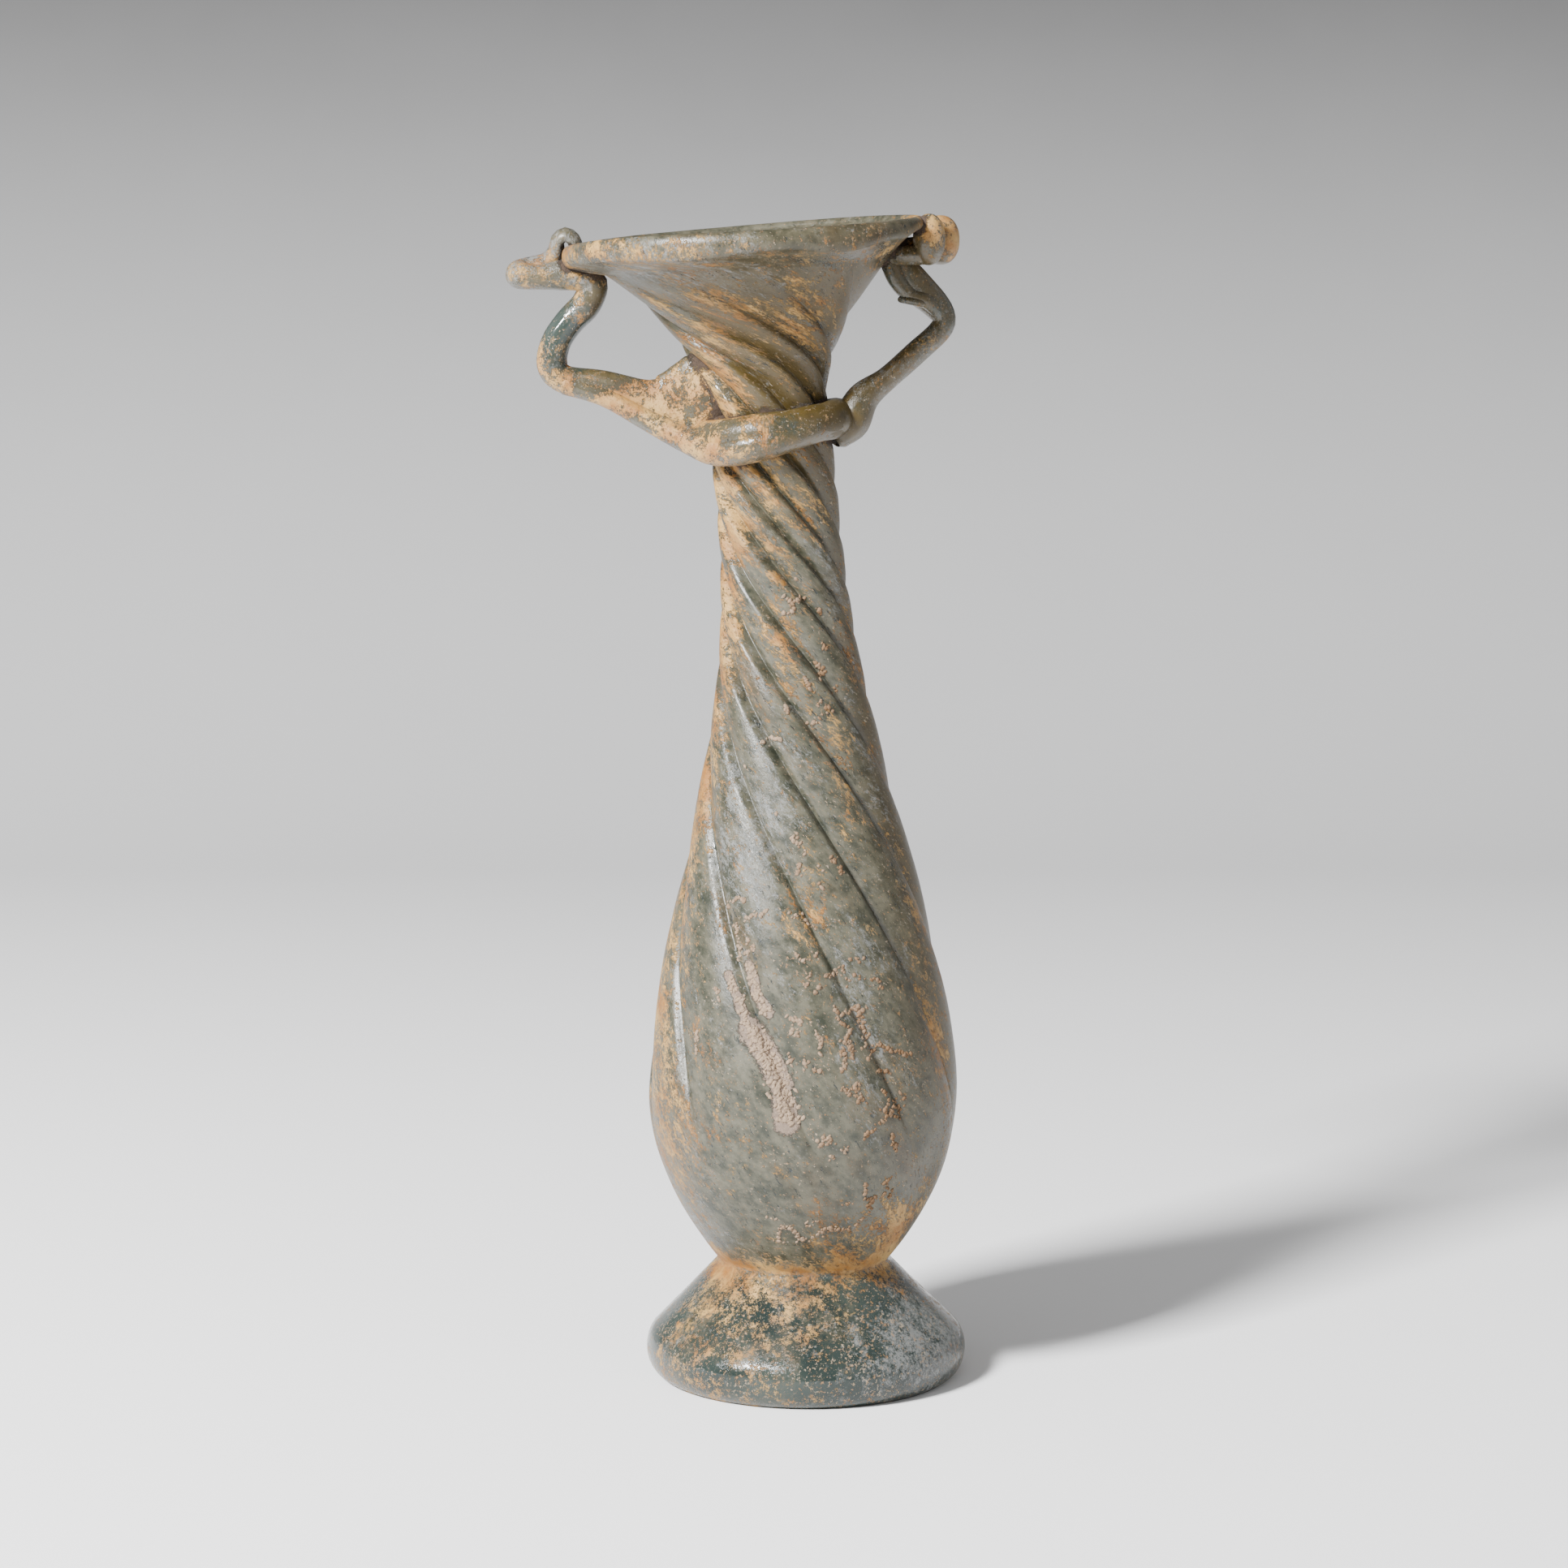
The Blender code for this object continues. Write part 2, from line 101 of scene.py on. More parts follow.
def blown_radius(height):
    """Outer radius over the lobes."""
    if height <= BELLY_HEIGHT:
        way = share(WAIST_HEIGHT, BELLY_HEIGHT, height)
        return WAIST_RADIUS + (BELLY_RADIUS - WAIST_RADIUS) * (1.0 - (1.0 - way) ** 2.0)
    if height <= NECK_HEIGHT:
        way = share(BELLY_HEIGHT, NECK_HEIGHT, height)
        return NECK_RADIUS + (BELLY_RADIUS - NECK_RADIUS) * (1.0 - way ** SHOULDER_POWER) ** TAPER_POWER
    way = share(THROAT_HEIGHT, RIM_HEIGHT, height)
    return NECK_RADIUS + (RIM_RADIUS - RIM_BEAD_RADIUS - NECK_RADIUS) * way ** MOUTH_POWER


def slope(height, reach=0.0002):
    """Change of the outer radius with height."""
    low = max(WAIST_HEIGHT, height - reach)
    high = min(RIM_HEIGHT, height + reach)
    return (blown_radius(high) - blown_radius(low)) / (high - low)


print("Radius at belly, neck and rim in mm:",
      [round(1000 * blown_radius(h), 1) for h in (BELLY_HEIGHT, NECK_HEIGHT, RIM_HEIGHT)])

# %% [markdown]
# ## Lean and tilt
#
# Hot glass sags while it is worked, so the neck leans more and more to the left and the mouth is tilted.
# A curve or lattice deformer could bend a straight vase. Here one function places every point instead,
# and anything that touches the vase can ask it where the wall is.

# %% Where a point of the wall goes
LEAN = 0.0097
LEAN_POWER = 3.1
FOOT_OFFSET = 0.00045
RIM_TILT = 0.070
RIM_BACK_LIFT = 0.0010
RIM_LEFT_DROOP = 0.0012


def axis_x(height):
    """The middle of the vase at a height: beside the foot's centre, then leaning more and more."""
    offset = FOOT_OFFSET * smooth(0.5 * FOOT_EDGE_HEIGHT, WAIST_HEIGHT, height)
    return -offset - LEAN * (max(height, 0.0) / RIM_HEIGHT) ** LEAN_POWER


def outward(angle):
    """The way straight out from the axis."""
    return Vector((cos(angle), sin(angle), 0.0))


def place(radius, height, angle):
    x = radius * cos(angle)
    y = radius * sin(angle)
    mouth = smooth(COIL_HEIGHT, RIM_HEIGHT, height)
    back = 0.5 * RIM_BACK_LIFT * (y / RIM_RADIUS) * (1.0 + x / RIM_RADIUS)
    droop = RIM_LEFT_DROOP * max(0.0, -x / RIM_RADIUS) ** 6
    return Vector((axis_x(height) + x, y, height + mouth * (RIM_TILT * x + back - droop)))


print("The rim's axis leans %.1f mm to the left" % (-1000 * axis_x(RIM_HEIGHT)))

# %% [markdown]
# ## Spiral ribs
#
# The gather was dipped in a ribbed mould and twisted. Blowing then stretched the ribs into pillow-shaped
# lobes parted by narrow creases, tight on the thin neck and almost straight on the wide body.
# A texture could fake the creases, but they catch the light and break the outline, so they are real.
# The columns of the grid run along the ribs, and crowd together at each crease to keep it crisp.

# %% Turn of the ribs
WHOLE_TURN = 2.0 * pi
RIB_COUNT = 9
NECK_TURN_HEIGHT = 0.0690
TURN_POWER = 1.75
MOUTH_SWIRL = 1.5
SWIRL_RISE = 0.012
SPIRAL_STEPS = 600


def plain_rate(height):
    """Turn of the ribs for each metre of height: tight on the thin neck, slack on the wide body."""
    return WHOLE_TURN / NECK_TURN_HEIGHT * (NECK_RADIUS / blown_radius(height)) ** TURN_POWER


def turn_rate(height):
    """The mouth was flared last, by spinning, which swept its folds round much further."""
    swept = smooth(THROAT_HEIGHT, THROAT_HEIGHT + SWIRL_RISE, height)
    return plain_rate(height) * (1.0 + MOUTH_SWIRL * swept)


def spiral_table():
    """Heights, and how far the ribs have turned at each. The mouth's swirl starts at the throat."""
    step = (RIM_HEIGHT - WAIST_HEIGHT) / SPIRAL_STEPS
    heights = [WAIST_HEIGHT + step * k for k in range(SPIRAL_STEPS + 1)]
    turns = [0.0]
    swirl = 0.0
    for height in reversed(heights[1:]):
        middle = height - 0.5 * step
        turns.append(turns[-1] + turn_rate(middle) * step)
        swirl += (turn_rate(middle) - plain_rate(middle)) * step
    return heights, [turn - swirl for turn in reversed(turns)]


SPIRAL_HEIGHTS, SPIRAL_TURNS = spiral_table()


def spiral(height):
    """How far the ribs have turned at a height."""
    if height <= SPIRAL_HEIGHTS[0]:
        return SPIRAL_TURNS[0]
    if height >= SPIRAL_HEIGHTS[-1]:
        return SPIRAL_TURNS[-1]
    above = bisect.bisect_right(SPIRAL_HEIGHTS, height)
    way = share(SPIRAL_HEIGHTS[above - 1], SPIRAL_HEIGHTS[above], height)
    return SPIRAL_TURNS[above - 1] + way * (SPIRAL_TURNS[above] - SPIRAL_TURNS[above - 1])


# %% Depth below the lobes
RIB_DEPTH = 0.00125
RIB_START = radians(12.0)
RIB_UNEVENNESS = radians(3.0)
RIBS_FROM, RIBS_FULL = 0.0340, 0.0620
LOBE_LEAN = 1.35
CREASE_DEPTH = 0.00037
CREASE_HALF_WIDTH = 0.00050
FOLD_LIP = 0.00016
FOLD_LIP_AWAY = 0.0011
MOUTH_FADE = 0.80
FADE_FROM, FADE_TO = 0.158, 0.172
CREASE_MEANDER = radians(1.3)
COLUMNS_PER_RIB = 26
CROWDING = 0.72


def rib_strength(height):
    """The ribs rise above the waist and are gone at the rim."""
    fall_from = THROAT_HEIGHT + 0.4 * (RIM_HEIGHT - THROAT_HEIGHT)
    return smooth(RIBS_FROM, RIBS_FULL, height) * (1.0 - smooth(fall_from, RIM_HEIGHT, height))


def crease_gap(height, start):
    """Distance along the wall to the nearest crease, square to it, in metres."""
    rib = RIB_COUNT * start / WHOLE_TURN
    away = abs(rib - round(rib)) * WHOLE_TURN / RIB_COUNT * blown_radius(height)
    return away / hypot(1.0, turn_rate(height) * blown_radius(height))


def crease_fade(height):
    """In the flaring mouth the creases open into soft waves."""
    return 1.0 - MOUTH_FADE * smooth(FADE_FROM, FADE_TO, height)


def crease_depth(height, start):
    """The creases are deep in places and almost closed in others."""
    rib = round(RIB_COUNT * start / WHOLE_TURN) % RIB_COUNT
    wave = noise.noise(Vector((3.7 * rib, 5.1, height * 42.0)))
    return CREASE_DEPTH * crease_fade(height) * min(1.6, max(0.25, 0.95 + 1.3 * wave))


def rib_sink(height, start):
    """Depth below the lobes: a pillow that leans over its neighbour, and a groove where they meet."""
    way = (RIB_COUNT * start / WHOLE_TURN) % 1.0
    depth = RIB_DEPTH * (1.0 - sin(pi * way ** LOBE_LEAN)) ** 1.4
    gap = crease_gap(height, start)
    depth += crease_depth(height, start) * exp(-(gap / CREASE_HALF_WIDTH) ** 2)
    if way > 0.5:
        depth -= FOLD_LIP * crease_fade(height) * exp(-((gap - FOLD_LIP_AWAY) / CREASE_HALF_WIDTH) ** 2)
    return rib_strength(height) * depth


def meander(height, start):
    """Slow wandering of the creases, which no hand keeps straight."""
    return CREASE_MEANDER * noise.noise(Vector((1.6 * cos(start), 1.6 * sin(start), height * 28.0)))


def crowded(way):
    """Moves a place between two creases, from 0 to 1, towards the nearer one."""
    return way - CROWDING * sin(WHOLE_TURN * way) / WHOLE_TURN


COLUMNS = [WHOLE_TURN * (rib + crowded(k / COLUMNS_PER_RIB)) / RIB_COUNT
           for rib in range(RIB_COUNT) for k in range(COLUMNS_PER_RIB)]
print("%d columns; the ribs turn %.0f degrees from waist to rim"
      % (len(COLUMNS), degrees(spiral(WAIST_HEIGHT))))

# %% [markdown]
# ## A mesh that remembers where it is
#
# The finishes need to know more than a point's position: how far the next crease is, and where the point
# was before the twist, because the film has run along the ribs. Such facts are stored on the mesh as
# named attributes, which a material reads like a texture. A small class collects points, faces and facts,
# so that every part of the glass is made in the same way.

# %% A collector for points, faces and their facts


class Skin:
    def __init__(self):
        self.points = []
        self.faces = []
        self.facts = []

    def ring(self, spots):
        """Adds points with their facts; gives their numbers."""
        first = len(self.points)
        for point, facts in spots:
            self.points.append(point)
            self.facts.append(facts)
        return list(range(first, first + len(spots)))

    def join(self, rings):
        """Faces between each closed ring and the next; a ring may be a single point."""
        for lower, upper in zip(rings, rings[1:]):
            corners = ((lower, 0), (upper, 0), (upper, 1), (lower, 1))
            for k in range(max(len(lower), len(upper))):
                face = [ring[(k + step) % len(ring)] for ring, step in corners]
                self.faces.append(tuple(dict.fromkeys(face)))


glass = Skin()

# %% [markdown]
# ## The blown wall
#
# The wall is one closed skin: inside floor, inner wall, rim, outer wall, foot and pushed-in underside.
# Rows are placed by equal steps along the profile. Blown glass is never quite even, so slow noise moves
# the outer points in and out by about a tenth of a millimetre.

# %% Rows of the blown wall
BODY_STEP = 0.00082
FOOT_STEP = 0.0010
INNER_STEP = 0.0045
WAVINESS = 0.00016
WAVES_FROM = 0.0015
FAR_GAP = 9.0


def facts_at(radius, height, start, kind):
    """Untwisted place, gap to the crease in mm, rib strength, and the kind of surface."""
    facts = {"straight": (radius * cos(start), radius * sin(start), height),
             "gap": FAR_GAP, "rib": 0.0, "kind": kind}
    if kind == "outer":
        facts["gap"] = 1000.0 * crease_gap(height, start)
        facts["rib"] = rib_strength(height) * crease_fade(height)
    return facts


def column_angle(start, height):
    """Where a column stands at a height."""
    return start + RIB_UNEVENNESS * sin(2.0 * start) + RIB_START + spiral(height)


def wall_ring(radius, height, turned_at, kind):
    """A ring of the wall, its columns turned as they are at a given height."""
    if radius == 0.0:
        return glass.ring([(place(0.0, height, 0.0), facts_at(0.0, height, 0.0, kind))])
    spots = []
    for start in COLUMNS:
        angle = column_angle(start, turned_at)
        sink = 0.0
        if kind == "outer":
            angle += rib_strength(height) * meander(height, start)
            sink = rib_sink(height, start)
        point = place(radius - sink, height, angle)
        if kind in ("outer", "foot") and height > WAVES_FROM:
            wave = noise.noise(point * 55.0) + 0.5 * noise.noise(point * 140.0)
            point += outward(angle) * (WAVINESS * wave)
        spots.append((point, facts_at(radius, height, start, kind)))
    return glass.ring(spots)


def along(profile, step):
    """Points at equal steps along a polyline of (radius, height)."""
    result = [profile[0]]
    for (r0, h0), (r1, h1) in zip(profile, profile[1:]):
        count = max(1, round(hypot(r1 - r0, h1 - h0) / step))
        for k in range(1, count + 1):
            way = k / count
            result.append((r0 + (r1 - r0) * way, h0 + (h1 - h0) * way))
    return result


def rounded(profile):
    """Cuts the corners of an open polyline once; it keeps its ends."""
    cut = [profile[0]]
    for (r0, h0), (r1, h1) in zip(profile, profile[1:]):
        cut.append((0.75 * r0 + 0.25 * r1, 0.75 * h0 + 0.25 * h1))
        cut.append((0.25 * r0 + 0.75 * r1, 0.25 * h0 + 0.75 * h1))
    return cut + [profile[-1]]


def inner_profile():
    floor = WAIST_HEIGHT - FOOT_WALL + FLOOR_THICKNESS
    rows = [(0.0, floor), (0.45 * WAIST_RADIUS, floor + 0.0004), (WAIST_RADIUS - WALL, floor + 0.0018)]
    height = WAIST_HEIGHT + 1.6 * FLOOR_THICKNESS
    while height < RIM_HEIGHT - RIM_BEAD_RADIUS:
        lean = hypot(1.0, slope(height))
        rows.append((blown_radius(height) - WALL / lean, height + WALL * slope(height) / lean))
        height += INNER_STEP / lean
    return rows


def outer_heights():
    heights = []
    height = RIM_HEIGHT - 0.0046
    while height > WAIST_HEIGHT + 0.0004:
        heights.append(height)
        height -= BODY_STEP / hypot(1.0, slope(height))
    return heights


def foot_profile():
    half_width = 0.5 * FOOT_EDGE_WIDTH
    half_height = 0.5 * FOOT_EDGE_HEIGHT
    centre = FOOT_RADIUS - half_width
    edge = []
    for angle in map(radians, range(58, -75, -12)):
        edge.append((centre + half_width * cos(angle), half_height * (1.0 + sin(angle))))
    shoulder = (0.6 * WAIST_RADIUS + 0.4 * edge[0][0], 0.6 * WAIST_HEIGHT + 0.4 * edge[0][1])
    outside = [(WAIST_RADIUS, WAIST_HEIGHT), shoulder, *edge, (centre + 0.5 * FOOT_CONTACT_WIDTH, 0.0)]
    inside = [
        (centre - 0.5 * FOOT_CONTACT_WIDTH, 0.0),
        (centre - 0.85 * half_width, 0.45 * half_height),
        (centre - half_width - 0.4 * FOOT_WALL, 0.45 * FOOT_EDGE_HEIGHT + 0.25 * FOOT_WALL),
        (WAIST_RADIUS - 0.5 * FOOT_WALL, WAIST_HEIGHT - 1.9 * FOOT_WALL),
        (0.45 * WAIST_RADIUS, WAIST_HEIGHT - 1.15 * FOOT_WALL),
        (0.0, WAIST_HEIGHT - FOOT_WALL),
    ]
    return outside, rounded(rounded(inside))


# %% Rows of the rolled lip
LIP_ROWS = 18
LIP_BLEND_ROWS = 3
ROLL_TALL = 0.0019
ROLL_START, ROLL_SWEEP, ROLL_LESS = 165.0, 285.0, 58.0
KNOB_TAPER = 0.45


def roll_height(angle, left_front):
    """Half height of the roll: fuller at the left front, uneven, thin by the knob."""
    fuller = 0.92 + 0.10 * left_front
    fuller += 0.26 * noise.noise(Vector((2.2 * cos(angle), 2.2 * sin(angle), 0.4)))
    return ROLL_TALL * fuller * (1.0 - KNOB_TAPER * smooth(0.86, 0.99, cos(angle)))


def lip_rings():
    """The rim was rolled outward, so it hangs as a soft roll."""
    made = []
    for k in range(LIP_ROWS):
        spots = []
        for start in COLUMNS:
            angle = column_angle(start, RIM_HEIGHT)
            left_front = 0.5 + 0.5 * cos(angle - radians(-135.0))
            turn = radians(ROLL_START - (ROLL_SWEEP - ROLL_LESS * left_front) * k / (LIP_ROWS - 1))
            blend = min(1.0, k / LIP_BLEND_ROWS)
            tall = RIM_BEAD_RADIUS + (roll_height(angle, left_front) - RIM_BEAD_RADIUS) * blend
            radius = RIM_RADIUS - RIM_BEAD_RADIUS + RIM_BEAD_RADIUS * cos(turn)
            height = RIM_HEIGHT + RIM_BEAD_RADIUS - tall + tall * sin(turn)
            spots.append((place(radius, height, angle), facts_at(radius, height, start, "lip")))
        made.append(glass.ring(spots))
    return made


# %% Build the blown wall
rings = [wall_ring(r, h, RIM_HEIGHT, "inner") for r, h in inner_profile()]
rings += lip_rings()
rings += [wall_ring(blown_radius(h), h, h, "outer") for h in outer_heights()]
foot_outside, foot_inside = foot_profile()
rings += [wall_ring(r, h, WAIST_HEIGHT, "foot") for r, h in along(foot_outside, FOOT_STEP)]
rings += [wall_ring(r, h, WAIST_HEIGHT, "under") for r, h in foot_inside]
glass.join(rings)
print("Blown wall: %d rings, %d faces" % (len(rings), len(glass.faces)))

# %% [markdown]
# ## Trails of hot glass
#
# The coil and the handles were laid on as trails of soft glass. A curve object with a bevel could make a
# rod, but a trail is flattened where it was pressed down, so an oval section is swept along a smooth
# curve through a few stations. Each station is a place and the section's two half thicknesses.

# %% Sweep an oval along stations
TRAIL_SIDES = 20
TRAIL_STEP = 0.0007
TRAIL_WAVINESS = 0.00012
ROUND_END = ((0.45, 0.9), (0.8, 0.6))


def stations(place_at, rows):
    """Stations from rows in mm: right of a place, behind it, above it, and the two half thicknesses."""
    return [[anchor + 0.001 * value for anchor, value in zip((*place_at, 0.0, 0.0), row)] for row in rows]


def curve_between(before, here, after, beyond, way):
    """A Catmull-Rom curve through the stations."""
    result = []
    for a, b, c, d in zip(before, here, after, beyond):
        bend = 2.0 * a - 5.0 * b + 4.0 * c - d
        twist = 3.0 * (b - c) + d - a
        result.append(b + 0.5 * way * ((c - a) + way * (bend + way * twist)))
    return result


def trail_ring(points):
    return glass.ring([(point, {"straight": tuple(point), "gap": FAR_GAP, "rib": 0.0, "kind": "trail"})
                       for point in points])


def oval_ring(centre, across, up):
    points = []
    for k in range(TRAIL_SIDES):
        angle = WHOLE_TURN * k / TRAIL_SIDES
        point = centre + across * cos(angle) + up * sin(angle)
        points.append(point + (point - centre).normalized() * (TRAIL_WAVINESS * noise.noise(point * 160.0)))
    return trail_ring(points)


def sweep(path):
    """Sweeps the oval; the ends close in a few shrinking rings."""
    spots = []
    for before, here, after, beyond in zip(path[:1] + path, path, path[1:], path[2:] + path[-1:]):
        count = max(1, round((Vector(after[:3]) - Vector(here[:3])).length / TRAIL_STEP))
        spots += [curve_between(before, here, after, beyond, step / count) for step in range(count)]
    spots.append(path[-1])
    across = Vector((0.0, 1.0, 0.0))
    swept = []
    last = len(spots) - 1
    for k, (*centre, wide, tall) in enumerate(spots):
        ahead = Vector(spots[min(k + 1, last)][:3]) - Vector(spots[max(k - 1, 0)][:3])
        ahead.normalize()
        across = (across - ahead * across.dot(ahead)).normalized()
        up = ahead.cross(across)
        rings_here = [(1.0, 0.0)]
        if k == 0:
            rings_here = [(size, -away) for size, away in ROUND_END] + rings_here
        if k == last:
            rings_here = rings_here + list(reversed(ROUND_END))
        for size, away in rings_here:
            spot = Vector(centre) + ahead * (away * wide)
            swept.append(oval_ring(spot, across * wide * size, up * tall * size))
    glass.join(swept)
    glass.faces.append(tuple(reversed(swept[0])))
    glass.faces.append(tuple(swept[-1]))
    return len(swept)


# %% [markdown]
# ## The coil and both handles
#
# The coil sits below the mouth and sags at its left. From it the left trail runs out as a broad arm, turns
# at the elbow, climbs to the rim and doubles back as a thumb loop. The right trail is thinner, starts in
# a blob and ends in two flat curls over the rim.

# %% Coil round the neck
COIL_RINGS = 140
COIL_RADIUS = NECK_RADIUS + 0.0012
COIL_TILT = 0.157
COIL_HALF_WIDTH = 0.0026
COIL_HALF_HEIGHT = 0.0031
coil_rings = []
for k in range(COIL_RINGS):
    angle = WHOLE_TURN * k / COIL_RINGS
    height = COIL_HEIGHT + COIL_TILT * COIL_RADIUS * cos(angle)
    swell = 1.0 + 0.06 * noise.noise(outward(angle) * 2.3)
    centre = Vector((axis_x(height), 0.0, height)) + outward(angle) * COIL_RADIUS
    upward = Vector((0.0, 0.0, COIL_HALF_HEIGHT * swell))
    coil_rings.append(oval_ring(centre, outward(angle) * (COIL_HALF_WIDTH * swell), upward))
glass.join(coil_rings + coil_rings[:1])
print("Coil: %d rings" % len(coil_rings))

# %% Left handle
coil = COIL_HEIGHT
neck_axis = axis_x(coil)
left_root = neck_axis - NECK_RADIUS
left_rim = axis_x(RIM_HEIGHT) - RIM_RADIUS
rim_low = RIM_HEIGHT - RIM_TILT * RIM_RADIUS
left_elbow = left_rim - 0.00185
left_low = coil + 0.0104
left_tip = left_rim - 0.0066
arm = left_elbow - left_root
left_path = stations((left_root, 0.0, coil), [
    (1.6, -3.0, 3.6, 1.8, 7.4), (-1.4, -2.6, 4.2, 1.8, 7.8), (-3.5, -2.0, 4.0, 1.5, 7.3),
    (-5.0, -1.7, 3.9, 1.3, 6.5), (-7.4, -1.3, 3.8, 1.3, 5.1), (-10.2, -0.9, 4.1, 1.4, 3.9),
])
left_path += stations((left_root + 0.66 * arm, 0.0, coil), [(0.0, -0.4, 6.7, 1.8, 2.6)])
left_path += stations((left_root + 0.91 * arm, 0.0, left_low), [(0.0, 0.0, -2.6, 2.2, 2.3)])
left_path += stations((left_elbow, 0.0, left_low), [
    (0.2, 0.0, -0.2, 2.4, 2.5), (0.9, 0.0, 3.4, 2.4, 2.4),
    (3.0, 0.0, 6.6, 2.4, 2.4), (5.8, 0.0, 9.6, 2.4, 2.4),
])
left_path += stations((left_rim, 0.0, rim_low), [
    (5.0, -0.2, -5.6, 2.4, 2.4), (2.8, -0.6, -4.5, 2.3, 2.3), (-0.4, -1.0, -4.3, 2.2, 2.4),
])
left_path += stations((left_tip, 0.0, rim_low), [
    (3.6, -1.2, -4.6, 2.0, 2.0), (0.0, -0.8, -4.3, 2.1, 2.2),
    (0.4, 1.6, -3.7, 2.1, 2.1), (4.2, 2.0, -2.2, 1.8, 1.5),
])
left_path += stations((left_rim, 0.0, rim_low), [
    (-0.8, 1.4, -0.2, 1.7, 1.3), (-0.7, 0.7, 1.2, 1.6, 1.1), (0.6, 0.1, 2.2, 1.5, 1.0),
    (1.9, 0.0, 1.5, 1.4, 1.0), (2.4, 0.0, 0.2, 1.4, 1.0),
])
rope_path = stations((neck_axis, 0.0, coil), [(11.0, -4.0, 1.4, 2.2, 2.2)])
rope_path += stations((neck_axis, -NECK_RADIUS, coil), [
    (5.2, -0.3, -0.1, 2.4, 2.4), (-2.2, -1.6, -2.2, 2.6, 2.6), (-8.4, 2.0, -3.1, 2.5, 2.5),
])
rope_path += stations((left_root, 0.0, coil), [(-3.6, -4.4, -1.5, 2.1, 2.1), (-10.1, -2.4, 1.6, 1.7, 1.7)])
rope_path += stations((left_root + 0.66 * arm, 0.0, coil), [(0.0, -1.2, 5.2, 1.7, 1.6)])
rope_path += stations((left_root + 0.90 * arm, 0.0, left_low), [(0.0, -0.4, -3.2, 2.0, 1.9)])
print("Left handle: %d rings" % (sweep(left_path) + sweep(rope_path)))

# %% Right handle
right_root = neck_axis + NECK_RADIUS
right_rim = axis_x(RIM_HEIGHT) + RIM_RADIUS
rim_high = RIM_HEIGHT + RIM_TILT * RIM_RADIUS
right_elbow = right_rim + 0.00275
right_low = coil + 0.0170
right_path = stations((right_root, 0.0, coil), [
    (1.8, -1.6, -0.6, 2.4, 2.4), (3.2, -0.8, 1.2, 2.9, 3.0),
    (5.2, 0.0, 5.0, 2.6, 2.6), (9.0, 0.0, 8.1, 1.9, 1.9),
])
right_path += stations((right_elbow, 0.0, right_low), [
    (-4.2, 0.0, -4.8, 1.9, 1.9), (-0.6, 0.0, -1.5, 1.9, 1.9), (0.2, 0.0, 0.6, 1.9, 1.9),
    (-1.4, 0.0, 3.0, 2.0, 2.3), (-5.0, 0.0, 6.4, 2.1, 2.8),
])
right_path += stations((right_rim, 0.0, rim_high), [
    (-5.0, 0.0, -5.6, 2.1, 2.2), (-3.6, -0.3, -4.3, 2.1, 1.9), (-0.8, -0.6, -4.0, 2.0, 1.8),
])
doubled_path = stations((right_rim, 0.0, rim_high), [
    (-5.9, -1.2, -5.8, 1.3, 1.6), (-4.6, -1.6, -9.2, 1.2, 1.5), (-2.6, -1.6, -11.5, 1.2, 1.3),
    (0.0, -1.4, -12.4, 1.2, 1.3), (2.0, -0.8, -14.0, 1.1, 1.3),
])
tongue_path = stations((right_rim, 0.0, rim_high), [
    (-0.8, -2.2, -12.8, 0.7, 0.7), (-2.6, -2.4, -12.4, 0.7, 0.7), (-4.1, -2.0, -12.2, 0.5, 0.6),
])
print("Right handle: %d rings" % (sweep(right_path) + sweep(doubled_path) + sweep(tongue_path)))

# %% Thumb knob: two flat curls, and the band that ties them to the rim
BACK_CURL_HALF = (0.0031, 0.0030, 0.00395)
FRONT_CURL_HALF = (0.0026, 0.0028, 0.0041)
FRONT_CURL_OFFSET = Vector((0.0020, 0.0055, -0.0001))
KNOB_REACH = 0.00545
KNOB_HEIGHT = 0.0079


def curl(centre, half, fullness, segments=32, bands=20):
    """One tight curl of the trail, read as a disc with full round shoulders."""
    curl_rings = []
    for band in range(bands + 1):
        tall = pi * (band / bands - 0.5)
        points = []
        for k in range(segments if 0 < band < bands else 1):
            turn = WHOLE_TURN * k / segments
            ball = (cos(tall) * cos(turn), cos(tall) * sin(turn), sin(tall))
            full = [copysign(abs(value) ** fullness, value) * size for value, size in zip(ball, half)]
            points.append(centre + Vector(full))
        curl_rings.append(trail_ring(points))
    glass.join(curl_rings)


knob_middle = rim_high - 0.5 * KNOB_HEIGHT + RIM_BEAD_RADIUS
back_curl = Vector((right_rim + KNOB_REACH - BACK_CURL_HALF[0], 0.0021, knob_middle))
front_curl = back_curl - FRONT_CURL_OFFSET
curl(back_curl, BACK_CURL_HALF, 0.90)
curl(front_curl, FRONT_CURL_HALF, 0.94)
sweep(stations(front_curl, [
    (0.2, 0.4, -2.3, 1.8, 1.6), (-2.2, 0.4, -2.5, 1.9, 1.6),
    (-4.8, 1.4, -2.5, 1.8, 1.6), (-6.8, 2.8, -2.2, 1.6, 1.6),
]))
print("All glass: %d points, %d faces" % (len(glass.points), len(glass.faces)))

# %% [markdown]
# ## Where film, haze and earth lie
#
# The side that lay uppermost kept its tan film, the belly was rubbed grey, and pale earth stuck in streaks
# down the front. An image could be painted for this. Soft round patches, placed by angle and height, stay
# readable: each adds to one attribute, and the material breaks their edges up with noise.
# Angle 180 is the left side, -90 the front and 0 the right.

